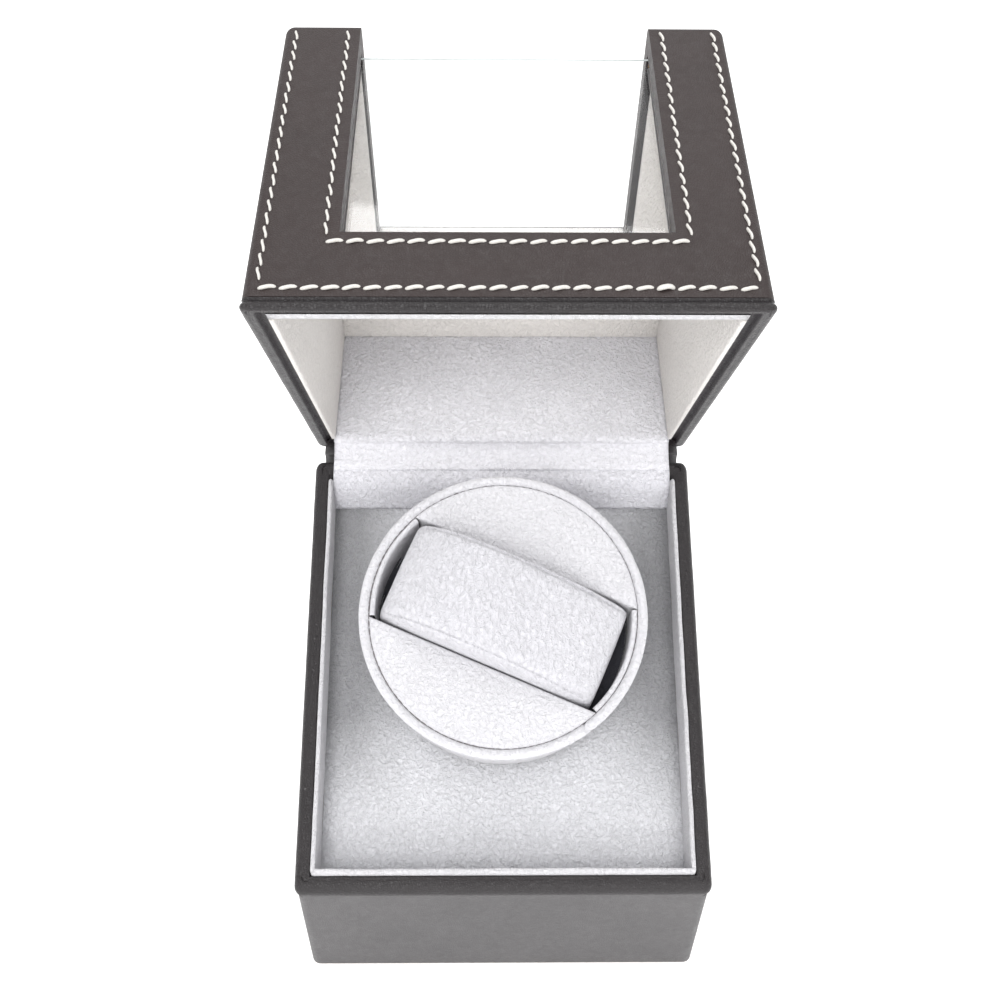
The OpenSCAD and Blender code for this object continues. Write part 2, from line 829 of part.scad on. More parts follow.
module spine_base() {
    y0 = leaf_y + leaf_t;
    color([0.16, 0.14, 0.13]) {
        yz(2 * spine_hw) polygon([[pad_y, piv_z - 18], [pad_y + 0.5, piv_z - 18],
            [y0 + 0.5, piv_z - 14], [y0 + 0.5, piv_z - 2.4], [y0, piv_z - 2.4],
            [y0, piv_z - 13.1], [pad_y, piv_z - 13.1]]);
        yz(2 * spine_hw) translate([piv_y, piv_z]) difference() {
            circle(3.1);
            circle(2.6);
            polygon([[0, 0], [8, 1], [8, 8], [-8, 8], [-8, -8], [-3, -8], [-1.3, -2.2]]);
        }
    }
}

module spine_lid() {
    y0 = leaf_y + leaf_t;
    color([0.16, 0.14, 0.13]) lid_pose() yz(2 * spine_hw)
        polygon([[y0, piv_z + 5], [y0 + 0.5, piv_z + 5], [y0 + 0.5, piv_z + 21],
            [pad_y + 0.5, piv_z + 25], [pad_y, piv_z + 25], [pad_y, piv_z + 20.1],
            [y0, piv_z + 20.1]]);
}

module hinge_strip() {
    a = [hd + 0.1, piv_z + 2.7];
    b = [piv_y + 3.6, piv_z + 3.2];
    color([0.88, 0.87, 0.87]) yz(2 * strip_hw)
        polygon([a, b, b + [0, 0.5], a + [0, 0.5]]);
}

// ---------- lid, drawn closed and then turned open ----------
lid_k = lid_gap + 2 * lid_rim_r / cos(rim_slope);
liner_k = lid_gap + 1.2;

module lid_inner_volume() {
    difference() {
        soft_box(body_w - 2 * skin, body_d - 2 * skin, top_z - skin, corner_r - skin);
        below_rim(lid_k);
    }
}

// space of the window, grown by k
module window_space(k) {
    w = win_w / 2 + k;
    block(-w, w, -hd - 5, -hd + lid_front, win_z - k, top_z + 5);
    block(-w, w, -hd - 5, win_back + k, top_z - lid_front, top_z + 5);
}

module lid_front_frame() {
    z1 = top_z - lid_front;
    s = win_w / 2 + skin;
    color([0.62, 0.5, 0.36]) lid_pose() intersection() {
        lid_inner_volume();
        union() {
            both_sides() block(s, hw - skin - lid_board, -hd, -hd + lid_front, 0, z1);
            block(-s + slit, s - slit, -hd, -hd + lid_front, 0, win_z - skin);
        }
    }
}

module lid_top_frame() {
    z1 = top_z - lid_front;
    s = win_w / 2 + skin;
    yb = hd - skin - lid_board;
    color([0.62, 0.5, 0.36]) lid_pose() intersection() {
        lid_inner_volume();
        union() {
            both_sides() block(s, hw - skin - lid_board, -hd, yb, z1, top_z);
            block(-s + slit, s - slit, win_back + skin, yb, z1, top_z);
        }
    }
}

module lid_side_boards() {
    color([0.62, 0.5, 0.36]) lid_pose() both_sides() intersection() {
        lid_inner_volume();
        block(hw - skin - lid_board, hw, -hd, hd, 0, top_z);
    }
}

module lid_rear_board() {
    color([0.62, 0.5, 0.36]) lid_pose() difference() {
        intersection() {
            lid_inner_volume();
            block(-hw + skin + lid_board, hw - skin - lid_board, hd - skin - lid_board, hd, 0, top_z);
        }
        leaf_screw_cut(piv_z + 16);
    }
}

module lid_wrap() {
    color([0.2, 0.17, 0.16]) lid_pose() difference() {
        union() {
            difference() {
                soft_box(body_w, body_d, top_z, corner_r);
                soft_box(body_w - 2 * skin, body_d - 2 * skin, top_z - skin, corner_r - skin);
            }
            intersection() {
                soft_box(body_w, body_d, top_z, corner_r);
                window_space(skin);
            }
        }
        window_space(0);
        below_rim(lid_k);
        leaf_screw_cut(piv_z + 16);
    }
}

module lid_rim() {
    color([0.14, 0.12, 0.12]) lid_pose()
        rim_strips(1, lid_gap, lid_rim_r, rim_stop(liner_t + 0.4),
            [hw - skin - lid_board + slit, hd - lid_front + slit, hd - skin - lid_board + slit]);
}

module pane_shape(k) {
    y0 = -hd + lid_front + pane;
    z0 = top_z - lid_front - pane;
    yz(2 * (pane_hw + k)) {
        intersection() {
            translate([y0, z0]) circle(pane + k);
            translate([y0 - 10, z0]) square([10, 10]);
        }
        translate([y0 - pane - k, win_z - 6 - k])
            square([pane + 2 * k, z0 - win_z + 6 + k]);
        translate([y0, z0 - k]) square([win_back + 6 - y0 + k, pane + 2 * k]);
    }
}

module lid_window() {
    color([0.85, 0.9, 0.92, 0.35]) lid_pose() translate([0, slit, -slit]) pane_shape(0);
}

module lid_front_liner() {
    w = hw - skin - lid_board;
    z1 = top_z - lid_front - pad_t;
    color([0.9, 0.88, 0.86]) lid_pose() difference() {
        block(-w, w, -hd + lid_front, -hd + lid_front + pad_t, 0, z1);
        below_rim(liner_k);
        translate([0, slit, -slit]) pane_shape(slit);
        block(-win_w / 2, win_w / 2, -hd, 0, win_z, top_z);
    }
}

module lid_top_liner() {
    w = hw - skin - lid_board;
    z1 = top_z - lid_front;
    color([0.9, 0.88, 0.86]) lid_pose() difference() {
        block(-w, w, -hd + lid_front, hd - skin - lid_board, z1 - pad_t, z1);
        translate([0, slit, -slit]) pane_shape(slit);
        block(-win_w / 2, win_w / 2, -hd, win_back, 0, top_z);
        block(-pane_hw - slit, pane_hw + slit, -hd, -hd + lid_front + pane + 2 * slit, 0, top_z);
    }
}

module lid_side_liners() {
    w = hw - skin - lid_board;
    color([0.9, 0.88, 0.86]) lid_pose() both_sides() difference() {
        block(w - liner_l, w, -hd + lid_front + pad_t, hd - skin - lid_board - liner_l,
            0, top_z - lid_front - pad_t);
        below_rim(liner_k);
    }
}

module lid_rear_liner() {
    w = hw - skin - lid_board;
    color([0.85, 0.84, 0.84]) lid_pose() difference() {
        block(-w, w, hd - skin - lid_board - liner_l, hd - skin - lid_board,
            0, top_z - lid_front - pad_t);
        below_rim(liner_k);
    }
}

// one row of stitches from a to b on the plane of the current XY
module stitch_row(a, b) {
    l = norm(b - a);
    n = round(l / 4.25);
    t = atan2(b[1] - a[1], b[0] - a[0]);
    for (i = [0:n - 1])
        translate([a[0] + (b[0] - a[0]) * (i + 0.5) / n, a[1] + (b[1] - a[1]) * (i + 0.5) / n, 0.15])
            rotate([0, 0, t + 8]) cube([3.2, 0.7, 0.3], center = true);
}

// two nested U shapes of stitches, open towards +Y
module stitch_u(xo, xi, y0, yi, y1) {
    stitch_row([-xo, y0], [xo, y0]);
    stitch_row([-xi, yi], [xi, yi]);
    both_sides() stitch_row([xo, y0 + 2], [xo, y1]);
    both_sides() stitch_row([xi, yi + 2], [xi, y1]);
}

module lid_stitches() {
    xo = hw - 3.2;
    xi = win_w / 2 + 3;
    color([0.93, 0.93, 0.92]) lid_pose() {
        translate([0, -hd, 0]) rotate([90, 0, 0])
            stitch_u(xo, xi, front_z + 6.6, win_z - 2.2, top_z - 3);
        translate([0, 0, top_z]) rotate([0, 0, 180])
            stitch_u(xo, xi, -hd + 5, -win_back - 3, hd - 3);
    }
}

base_front_board();
base_back_board();
base_side_boards();
base_wrap();
base_rim();
base_liner();
deck_board();
deck_suede();
deck_cleats();
bottom_panel();
bottom_screws();
base_pad();
gearbox_case();
gearbox_cover();
gearbox_screws();
gear_post();
spindle_bush();
motor_can();
dc_jack();
jack_nut();
switch_body();
pcb();
pcb_parts();
pcb_standoffs();
wires();
hinge_base_leaf();
hinge_pin();
hinge_base_screws();
spine_base();
hinge_strip();
lid_front_frame();
lid_top_frame();
lid_side_boards();
lid_rear_board();
lid_wrap();
lid_rim();
lid_window();
lid_front_liner();
lid_top_liner();
lid_side_liners();
lid_rear_liner();
hinge_lid_leaf();
hinge_lid_screws();
spine_lid();
lid_stitches();
spindle();
output_gear();
drum_base();
drum_screw();
drum_wall();
drum_core();
slot_lining();
drum_ring();
drum_face();
idler_gear();
motor_shaft();
motor_pinion();
pillow_cover();
pillow_core();
switch_rocker();
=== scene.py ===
"""Looks of the single watch winder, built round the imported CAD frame.

Lengths are millimetres in the frame's axes (X right, Y back, Z up) and become
metres when a mesh is made. "Closed" coordinates are those of the shut lid.
"""
import json
import random
from math import asin, atan, atan2, cos, degrees, dist, exp, hypot, pi, radians, remainder, sin, sqrt, tan

import bmesh
import bpy
from mathutils import Matrix, Vector, noise
from mathutils.geometry import delaunay_2d_cdt


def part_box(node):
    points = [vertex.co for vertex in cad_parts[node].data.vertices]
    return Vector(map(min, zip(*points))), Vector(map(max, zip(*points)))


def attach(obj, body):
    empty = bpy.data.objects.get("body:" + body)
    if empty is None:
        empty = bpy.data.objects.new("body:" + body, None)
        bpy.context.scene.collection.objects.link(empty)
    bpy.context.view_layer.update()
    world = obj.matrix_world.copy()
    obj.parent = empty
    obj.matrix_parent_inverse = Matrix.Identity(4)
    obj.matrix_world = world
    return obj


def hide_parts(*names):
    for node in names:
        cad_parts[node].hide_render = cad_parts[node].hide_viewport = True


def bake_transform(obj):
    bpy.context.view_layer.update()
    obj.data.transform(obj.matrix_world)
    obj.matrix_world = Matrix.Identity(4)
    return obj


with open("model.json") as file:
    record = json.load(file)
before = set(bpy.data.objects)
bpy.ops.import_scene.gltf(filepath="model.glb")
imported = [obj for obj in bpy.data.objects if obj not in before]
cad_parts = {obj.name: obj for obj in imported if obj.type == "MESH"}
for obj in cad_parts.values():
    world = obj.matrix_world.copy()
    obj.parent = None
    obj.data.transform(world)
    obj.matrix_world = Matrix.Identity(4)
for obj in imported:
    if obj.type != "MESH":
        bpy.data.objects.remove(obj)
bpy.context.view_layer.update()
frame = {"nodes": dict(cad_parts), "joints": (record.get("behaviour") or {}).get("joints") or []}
nodes = frame["nodes"]
joints = {j["name"]: j for j in frame["joints"]}
MM = 0.001
UP = Vector((0, 0, 1))


# ---------- sizes taken from the frame ----------
def top_corner(node):
    """The node's highest corner at rest, in mm."""
    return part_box(node)[1] / MM


def frame_at(origin, angle):
    """Frame at origin whose Z leans back by angle about X."""
    return Matrix.Translation(origin) @ Matrix.Rotation(angle, 4, "X")


HALF = top_corner("base_wrap").x  # half the box's width and depth
PIVOT = Vector(joints["lid_hinge"]["pos_m"]) / MM
OPEN = -radians(joints["lid_hinge"]["range_deg"][0])
LID = frame_at(PIVOT, -OPEN) @ Matrix.Translation(-PIVOT)
drum_axis = Vector(joints["drum_spin"]["axis"])
DECK_SLOPE = atan2(-drum_axis.y, drum_axis.z)
DRUM = frame_at(Vector(joints["drum_spin"]["pos_m"]) / MM, DECK_SLOPE)
DRUM_FOOT = DRUM.translation
BACK_Z = top_corner("base_rim").z  # top of the rim at the back
RISE = tan(radians(25.087))  # slope of the opening
FRONT_Z = BACK_Z - 2 * HALF * RISE

# ---------- sizes shared with the CAD ----------
LINER_SIDE, LINER_FRONT, LINER_BACK = HALF - 5.1, HALF - 4.3, HALF - 7  # the well's walls
LINER_T = 1.6
LINER_UP = 1.2  # liner's lip above the opening's plane
LIP = 1.2  # the lip's thickness, squeezed by the rim
BASE_BEAD = 2.1
LID_BEAD = 1.3
BASE_OVERHANG, LID_OVERHANG = 0.4, 0.12  # how far a bead stands out past the box
LID_GAP = 0.4
LID_WALL = 4.6  # lid side and rear walls
LID_FRONT = 5.0
LID_TOP_Z = 147.0
INNER_X = HALF - LID_WALL  # lid side and rear walls' inner faces
INNER_FRONT = HALF - LID_FRONT
INNER_TOP = LID_TOP_Z - LID_FRONT
LINER_FOOT = LID_GAP + 1.2  # lid liners' lower edge above the opening
PAD = 3.2  # pocketed liner round the window
PANE_H = 2.08  # the pane's share of that pocket
WINDOW_X = 36.0
WINDOW_Z = FRONT_Z + 22.7
WINDOW_BACK = 11.0
SUEDE_X = 49.8  # half width of the suede at the hinge
HINGE_Y = 51.3  # where it is glued into the lid
BACK_WIDTH = 50.3  # |x| up to which the back's cloth shows
DRUM_R = 38.9
DRUM_H = 29.0
RING_R = 1.35
JOIN_ANGLE = radians(-54)  # where the drum's cloth is joined
SEAM_R = 36.15  # seam between ring and face
SLOT_R = 34.6  # round ends of the slot
SLOT_W = 30.2
SLOT_FLOOR = 11.0
SLOT = DRUM @ Matrix.Rotation(radians(-23.3), 4, "Z")
CUSHION_L, CUSHION_W = 62.8, 29.4
CUSHION_TOP = DRUM_H + 10.8
RIDGE = 12.4  # the cushion's seams, across it


def rim_z(y):
    return FRONT_Z + (y + HALF) * RISE


def deck_z(y):
    return DRUM_FOOT.z + (y - DRUM_FOOT.y) * tan(DECK_SLOPE)


def clamp(value, low=0.0, high=1.0):
    return max(low, min(high, value))


def assign(thing, **settings):
    """Sets the named properties of thing."""
    for key, value in settings.items():
        setattr(thing, key, value)
    return thing


def polar(r, angle, *z):
    """A point at radius r and angle in radians, at height z if it is given."""
    return (r * cos(angle), r * sin(angle), *z)


# ---------- mesh helpers ----------
def place(obj, body, slot, *replaced):
    """Puts a finished piece on its body and hides the CAD nodes it replaces; slot is not used."""
    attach(obj, body)
    if replaced:
        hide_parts(*replaced)


def modify(obj, kind, **settings):
    return assign(obj.modifiers.new(kind.lower(), kind), **settings)


def keep_modifiers(obj):
    """Turns the object's modifiers, at the current frame, into its mesh."""
    evaluated = obj.evaluated_get(bpy.context.evaluated_depsgraph_get())
    mesh = bpy.data.meshes.new_from_object(evaluated)
    obj.modifiers.clear()
    obj.data = mesh


class Builder:
    """Gathers vertices and faces of one piece."""

    def __init__(self):
        self.verts = []
        self.faces = []

    def add(self, verts, faces):
        k = len(self.verts)
        self.verts += [tuple(v) for v in verts]
        self.faces += [tuple(i + k for i in f) for f in faces]

    def loft(self, rings, around=True, cap_first=False, cap_last=False, closed=False):
        """Quads between equal rings. closed joins the last ring to the first."""
        n = len(rings[0])
        k = len(self.verts)
        for ring in rings:
            self.verts += [tuple(v) for v in ring]
        for a in range(len(rings) if closed else len(rings) - 1):
            b = (a + 1) % len(rings)
            for i in range(n if around else n - 1):
                j = (i + 1) % n
                self.faces.append((k + a * n + i, k + a * n + j, k + b * n + j, k + b * n + i))
        if cap_first:
            self.fan(list(range(k, k + n)))
        if cap_last:
            s = k + (len(rings) - 1) * n
            self.fan(list(range(s, s + n)))

    def fan(self, ids):
        c = sum((Vector(self.verts[i]) for i in ids), Vector()) / len(ids)
        self.verts.append(tuple(c))
        m = len(self.verts) - 1
        for i, a in enumerate(ids):
            self.faces.append((a, ids[(i + 1) % len(ids)], m))

    def build(self, name, matrix=Matrix.Identity(4), material=None):
        """The piece as a welded, smooth object."""
        mesh = bpy.data.meshes.new(name)
        mesh.from_pydata([matrix @ Vector(v) * MM for v in self.verts], [], self.faces)
        mesh.validate()
        bm = bmesh.new()
        bm.from_mesh(mesh)
        bmesh.ops.remove_doubles(bm, verts=bm.verts, dist=1e-6)
        bmesh.ops.recalc_face_normals(bm, faces=bm.faces)
        bm.to_mesh(mesh)
        bm.free()
        mesh.shade_smooth()
        if material:
            mesh.materials.append(M[material])
        obj = bpy.data.objects.new(name, mesh)
        bpy.context.scene.collection.objects.link(obj)
        return obj


def round_rect(x, front, back, r, side=60, corner=8):
    """Rounded rectangle |x|, -front to back, as evenly matched points."""
    r = max(r, 0.02)
    pts = []
    centres = [(x - r, -front + r), (x - r, back - r), (-x + r, back - r), (-x + r, -front + r)]
    arcs = [arc_points(cx, cy, r, 90 * i - 90, 90 * i, corner) for i, (cx, cy) in enumerate(centres)]
    for i, arc in enumerate(arcs):
        pts += arc
        (x0, y0), (x1, y1) = arc[-1], arcs[(i + 1) % 4][0]
        pts += [(x0 + (x1 - x0) * k / side, y0 + (y1 - y0) * k / side) for k in range(1, side)]
    return pts


def wander(p, size, amount, seed=0.0):
    """A smooth random offset at point p, for cloth and leather that isn't quite flat."""
    v = Vector(p) / size
    return noise.noise(v + Vector((seed, seed * 1.7, -seed))) * amount


def arc_points(cx, cy, r, a0, a1, n):
    """Points (x, y) on an arc, angles in degrees."""
    return [(cx + r * cos(radians(a0 + (a1 - a0) * k / n)),
             cy + r * sin(radians(a0 + (a1 - a0) * k / n))) for k in range(n + 1)]


# ---------- material helpers ----------
class Nodes:
    """Short hand for one material's node tree. Textures use object coordinates in metres."""

    def __init__(self, name):
        self.mat = bpy.data.materials.new(name)
        self.mat.use_nodes = True
        self.tree = self.mat.node_tree
        self.bsdf = self.tree.nodes["Principled BSDF"]
        self.coords = self.new("TexCoord").outputs["Object"]

    def fill(self, sockets, values):
        """Sets each named or numbered socket, or links it where the value is a socket."""
        for key, value in values.items():
            if hasattr(value, "links"):
                self.tree.links.new(value, sockets[key])
            else:
                sockets[key].default_value = value

    def new(self, kind, values={}, **props):
        """A shader node of this kind, its sockets filled from values."""
        node = assign(self.tree.nodes.new("ShaderNode" + kind), **props)
        self.fill(node.inputs, values)
        return node

    def mapped(self, scale=(1, 1, 1), rotation=(0, 0, 0)):
        values = {"Vector": self.coords, "Scale": scale, "Rotation": rotation}
        return self.new("Mapping", values).outputs["Vector"]

    def noise(self, size, detail=3.0, rough=0.55, vector=None, distortion=0.0):
        """Noise whose blobs are about size mm across."""
        values = {"Vector": vector or self.coords, "Scale": 1 / (size * MM), "Detail": detail,
                  "Roughness": rough, "Distortion": distortion}
        return self.new("TexNoise", values).outputs["Fac"]

    def cells(self, size, vector=None):
        """Distance from the edge of cells about size mm across."""
        values = {"Vector": vector or self.coords, "Scale": 1 / (size * MM)}
        return self.new("TexVoronoi", values, feature="DISTANCE_TO_EDGE").outputs["Distance"]

    def ramp(self, fac, stops):
        """Colours along fac. stops are (place, (r, g, b)), or (place, grey)."""
        node = self.new("ValToRGB", {"Fac": fac})
        elements = node.color_ramp.elements
        while len(elements) < len(stops):
            elements.new(0.5)
        for e, (at, c) in zip(elements, stops):
            assign(e, position=at, color=(*(c if isinstance(c, tuple) else (c, c, c)), 1))
        return node.outputs["Color"]

    def math(self, op, a, b):
        return self.new("Math", {0: a, 1: b}, operation=op).outputs[0]

    def spread(self, fac, lo, hi, a, b):
        """The range lo to hi of fac stretched to a to b."""
        values = {"Value": fac, "From Min": lo, "From Max": hi, "To Min": a, "To Max": b}
        return self.new("MapRange", values).outputs["Result"]

    def multiply(self, a, b):
        return self.new("Mix", {0: 1.0, 6: a, 7: b}, data_type="RGBA", blend_type="MULTIPLY").outputs[2]

    def bump(self, height, depth):
        """Bump of depth mm."""
        values = {"Strength": 1.0, "Distance": depth * MM, "Height": height}
        return self.new("Bump", values).outputs["Normal"]

    def set(self, **values):
        """Fills the shader's sockets, and returns the material."""
        self.fill(self.bsdf.inputs, {key.replace("_", " "): value for key, value in values.items()})
        return self.mat


def srgb(r, g, b):
    """Linear colour from 0-255 sRGB values."""
    return tuple(((c / 255 + 0.055) / 1.055) ** 2.4 if c > 10 else c / 3295 for c in (r, g, b))


def tint(c, k):
    return tuple(min(1.0, v * k) for v in c)


# ---------- materials ----------
def suede(name, colour, nap, depth, mottle, smooth_rows=1.0, painted_shade=0.0):
    """Short-napped suede. nap is the size of its crumple in mm and depth its height; the last
    argument is how much darker it is painted where the mesh's own attribute marks painted shade."""
    m = Nodes(name)
    stretched = m.mapped(scale=(1.0, smooth_rows, smooth_rows), rotation=(0.2, 0.1, 0.5))
    crumple = m.noise(nap, 4, 0.6, stretched, 0.6)
    fine = m.noise(nap * 0.28, 2, 0.6)
    broad = m.noise(17, 2, 0.5)
    base = m.ramp(crumple, [(0.30, tint(colour, 1 - mottle * 1.6)),
                            (0.62, tint(colour, 1 + mottle * 0.35))])
    patches = m.ramp(broad, [(0.3, 1 - mottle * 0.5), (0.7, 1.0)])
    # painted shade: darker where the mesh's attribute marks where shade falls
    if painted_shade:
        mark = m.new("Attribute", attribute_name="painted_shade").outputs["Fac"]
        patches = m.multiply(patches, m.ramp(mark, [(0.0, 1.0), (1.0, 1 - painted_shade)]))
    height = m.math("ADD", crumple, m.math("MULTIPLY", fine, 0.25))
    return m.set(Base_Color=m.multiply(base, patches), Roughness=0.92, Specular_IOR_Level=0.18,
                 Sheen_Weight=0.25, Sheen_Roughness=0.5, Normal=m.bump(height, depth))


def leather(name, colour, grain=0.55, depth=0.05, rough=(0.34, 0.5), worn=0.10, shine=0.5):
    """Split leather with a pebbled grain, a satin finish and paler rubbed patches."""
    m = Nodes(name)
    pores = m.cells(grain)
    crease = m.noise(2.6, 5, 0.62, None, 0.8)
    broad = m.noise(14, 3, 0.5)
    base = m.ramp(broad, [(0.28, tint(colour, 1 - worn)), (0.72, tint(colour, 1 + worn))])
    pits = m.ramp(pores, [(0.0, 0.80), (0.22, 1.0)])
    height = m.math("ADD", m.spread(pores, 0.0, 0.25, 0.0, 1.0), m.math("MULTIPLY", crease, 1.4))
    return m.set(Base_Color=m.multiply(base, pits), Roughness=m.spread(crease, 0.3, 0.7, *rough),
                 Specular_IOR_Level=shine, Normal=m.bump(height, depth))


def thread(name, colour):
    """Twisted waxed thread: fine slanting plies."""
    m = Nodes(name)
    ply = m.noise(0.28, 2, 0.5, m.mapped(scale=(1.0, 2.4, 2.4), rotation=(0.4, 0.5, 0.7)))
    base = m.ramp(ply, [(0.3, tint(colour, 0.82)), (0.6, colour)])
    return m.set(Base_Color=base, Roughness=0.55, Specular_IOR_Level=0.35, Normal=m.bump(ply, 0.12))


def acrylic(name):
    """Clear sheet: looks straight through, with soft reflections and faint dust."""
    m = Nodes(name)
    dust = m.noise(9, 4, 0.6)
    m.tree.nodes.remove(m.bsdf)
    film = m.ramp(dust, [(0.3, (0.995, 0.997, 0.997)), (0.7, (0.985, 0.988, 0.988))])
    clear = m.new("BsdfTransparent", {"Color": film})
    gloss = m.new("BsdfGlossy", {"Roughness": 0.04})
    facing = m.new("LayerWeight", {"Blend": 0.5}).outputs["Facing"]
    glancing = m.math("MULTIPLY", m.math("POWER", facing, 3.0), 0.5)
    share = m.math("ADD", glancing, m.spread(dust, 0.3, 0.7, 0.015, 0.03))
    mix = m.new("MixShader", {0: share, 1: clear.outputs[0], 2: gloss.outputs[0]})
    m.fill(m.tree.nodes["Material Output"].inputs, {"Surface": mix.outputs[0]})
    return m.mat


def board(name, colour):
    """Fibreboard: fine flecks."""
    m = Nodes(name)
    fleck = m.noise(0.7, 4, 0.7)
    base = m.ramp(fleck, [(0.25, tint(colour, 0.72)), (0.5, colour), (0.8, tint(colour, 1.25))])
    return m.set(Base_Color=base, Roughness=0.85, Normal=m.bump(fleck, 0.08))


def moulded(name, colour, rough=0.42):
    """Moulded plastic with a fine spark-eroded texture."""
    m = Nodes(name)
    pits = m.noise(0.35, 3, 0.6)
    broad = m.noise(12, 2, 0.5)
    base = m.ramp(broad, [(0.3, tint(colour, 0.9)), (0.7, tint(colour, 1.08))])
    return m.set(Base_Color=base, Roughness=m.spread(pits, 0.3, 0.7, rough - 0.06, rough + 0.08),
                 Normal=m.bump(pits, 0.02))


def metal(name, colour, rough=0.3):
    """Plated metal with fine drawn lines."""
    m = Nodes(name)
    lines = m.noise(1.2, 3, 0.7, m.mapped(scale=(0.08, 1, 1)))
    stain = m.noise(5, 3, 0.5)
    base = m.ramp(stain, [(0.3, tint(colour, 0.82)), (0.7, colour)])
    return m.set(Base_Color=base, Metallic=1.0, Normal=m.bump(lines, 0.01),
                 Roughness=m.spread(lines, 0.3, 0.7, rough - 0.08, rough + 0.12))


def circuit(name, colour):
    """Solder mask with copper tracks showing faintly under it."""
    m = Nodes(name)
    tracks = m.cells(3.2, m.mapped(scale=(1, 1, 0.1)))
    base = m.ramp(tracks, [(0.05, tint(colour, 1.9)), (0.09, colour)])
    return m.set(Base_Color=base, Roughness=0.3, Normal=m.bump(tracks, 0.03))


def foam(name, colour):
    """Open-celled foam."""
    m = Nodes(name)
    pores = m.cells(0.6)
    base = m.ramp(pores, [(0.0, tint(colour, 1.3)), (0.35, tint(colour, 0.6))])
    return m.set(Base_Color=base, Roughness=0.95, Normal=m.bump(pores, 0.2))


def floor_material(name):
    """Pale matt paper that lifts its own shadows a little."""
    m = Nodes(name)
    grain = m.noise(30, 3, 0.5)
    base = m.ramp(grain, [(0.3, (0.94, 0.94, 0.945)), (0.7, (0.96, 0.96, 0.96))])
    return m.set(Base_Color=base, Roughness=0.9, Specular_IOR_Level=0.1,
                 Emission_Color=(1, 1, 1, 1), Emission_Strength=0.25)


# The suedes stand for one pale grey cloth: each piece's colour is set lighter or darker to match how
# brightly it is lit, painted light and shade.
SUEDES = {  # colour, nap, depth, mottle, smooth_rows and painted shade (how much darker the cloth is painted where shade falls)
    "suede_deck": ((233, 233, 237), 1.05, 1.6, 0.09, 1.0, 0.70),
    "suede_back": ((235, 234, 240), 1.1, 1.8, 0.09),
    "suede_liner": ((206, 205, 208), 1.0, 1.3, 0.08),
    "suede_lid": ((230, 229, 234), 1.2, 1.6, 0.10),
    "suede_strip": ((226, 225, 230), 1.1, 1.0, 0.08),
    "suede_warm": ((219, 215, 211), 1.2, 1.0, 0.06),
    "suede_drum": ((217, 216, 220), 1.0, 1.2, 0.06),
    "suede_pillow": ((208, 207, 212), 1.1, 1.6, 0.07, 0.7),
    # painted shade: the slot floor's cloth, dark for the shade deep in the narrow slot
    "suede_painted_dark": ((88, 88, 96), 1.2, 0.3, 0.1),
    "felt": ((44, 43, 45), 0.5, 0.12, 0.2),
}
MATERIALS = {
    # painted sheen: the same leather as the lid's, painted paler and greyer for the sheen the base's front
    # face catches
    "leather_base": (leather, (71, 69, 70), dict(rough=(0.40, 0.54), worn=0.09)),
    "leather_lid": (leather, (40, 29, 28), dict(rough=(0.42, 0.56), worn=0.07, shine=0.34)),
    "leather_rim": (leather, (27, 22, 24),
        dict(grain=0.6, depth=0.08, rough=(0.30, 0.44), worn=0.14, shine=0.4)),
    "cement": (moulded, (184, 190, 190), dict(rough=0.35)),
    "thread": (thread, (206, 203, 198), {}),
    "seam": (thread, (120, 116, 118), {}),
    "board": (board, (168, 138, 104), {}),
    "white_plastic": (moulded, (232, 231, 226), {}),
    "black_plastic": (moulded, (34, 34, 36), {}),
    "steel": (metal, (190, 191, 195), {}),
    "brass": (metal, (205, 172, 105), dict(rough=0.28)),
    "circuit": (circuit, (28, 92, 58), {}),
    "foam": (foam, (70, 70, 74), {}),
    "wire": (moulded, (150, 28, 22), dict(rough=0.4)),
}
M = {name: make(name, srgb(*colour), **options) for name, (make, colour, options) in MATERIALS.items()}
M.update({name: suede(name, srgb(*colour), *nap) for name, (colour, *nap) in SUEDES.items()})
M.update(acrylic=acrylic("acrylic"), floor=floor_material("floor"))

CARRIED = {
    "board": "base_front_board base_back_board base_side_boards deck_board deck_cleats bottom_panel "
             "lid_front_frame lid_top_frame lid_side_boards lid_rear_board",
    "leather_base": "base_wrap",
    "leather_lid": "lid_wrap",
    "felt": "base_pad",
    "acrylic": "lid_window",
    "steel": "bottom_screws gearbox_screws gear_post motor_can jack_nut hinge_pin hinge_base_screws "
             "hinge_lid_screws spindle drum_screw motor_shaft",
    "brass": "spindle_bush hinge_base_leaf hinge_lid_leaf motor_pinion",
    "white_plastic": "gearbox_case gearbox_cover pcb_standoffs output_gear idler_gear",
    "black_plastic": "dc_jack switch_body switch_rocker drum_base pcb_parts",
    "circuit": "pcb",
    "foam": "drum_core",
    "wire": "wires",
}
SOFT_EDGE = {"base_wrap": 0.25, "lid_wrap": 0.30, "dc_jack": 0.25, "switch_body": 0.35,
             "switch_rocker": 0.3, "lid_window": 0.12, "motor_can": 0.3, "gearbox_case": 0.3,
             "gearbox_cover": 0.3, "base_pad": 0.3}


def dress_carried_nodes():
    """Materials, and softened edges where an edge shows, for the CAD nodes that stay."""
    for material, names in CARRIED.items():
        for name in names.split():
            obj = nodes[name]
            obj.data.materials.clear()
            obj.data.materials.append(M[material])
            obj.data.shade_smooth()
            modify(obj, "WELD", merge_threshold=0.00002)
            if name in SOFT_EDGE:
                modify(obj, "DECIMATE", decimate_type="DISSOLVE", angle_limit=radians(1))
                modify(obj, "BEVEL", width=SOFT_EDGE[name] * MM, segments=2, limit_method="ANGLE",
                       angle_limit=radians(40), harden_normals=False)
            modify(obj, "EDGE_SPLIT", split_angle=radians(38))
            modify(obj, "WEIGHTED_NORMAL", weight=100)


# ---------- base ----------
def inset_ring(ds, df, db, t, radius, side=60, corner=8):
    """The opening's outline, inset on the sides, front and back, and t off its plane."""
    return [(x, y, rim_z(y) + t)
            for x, y in round_rect(HALF - ds, HALF - df, HALF - db, radius, side, corner)]


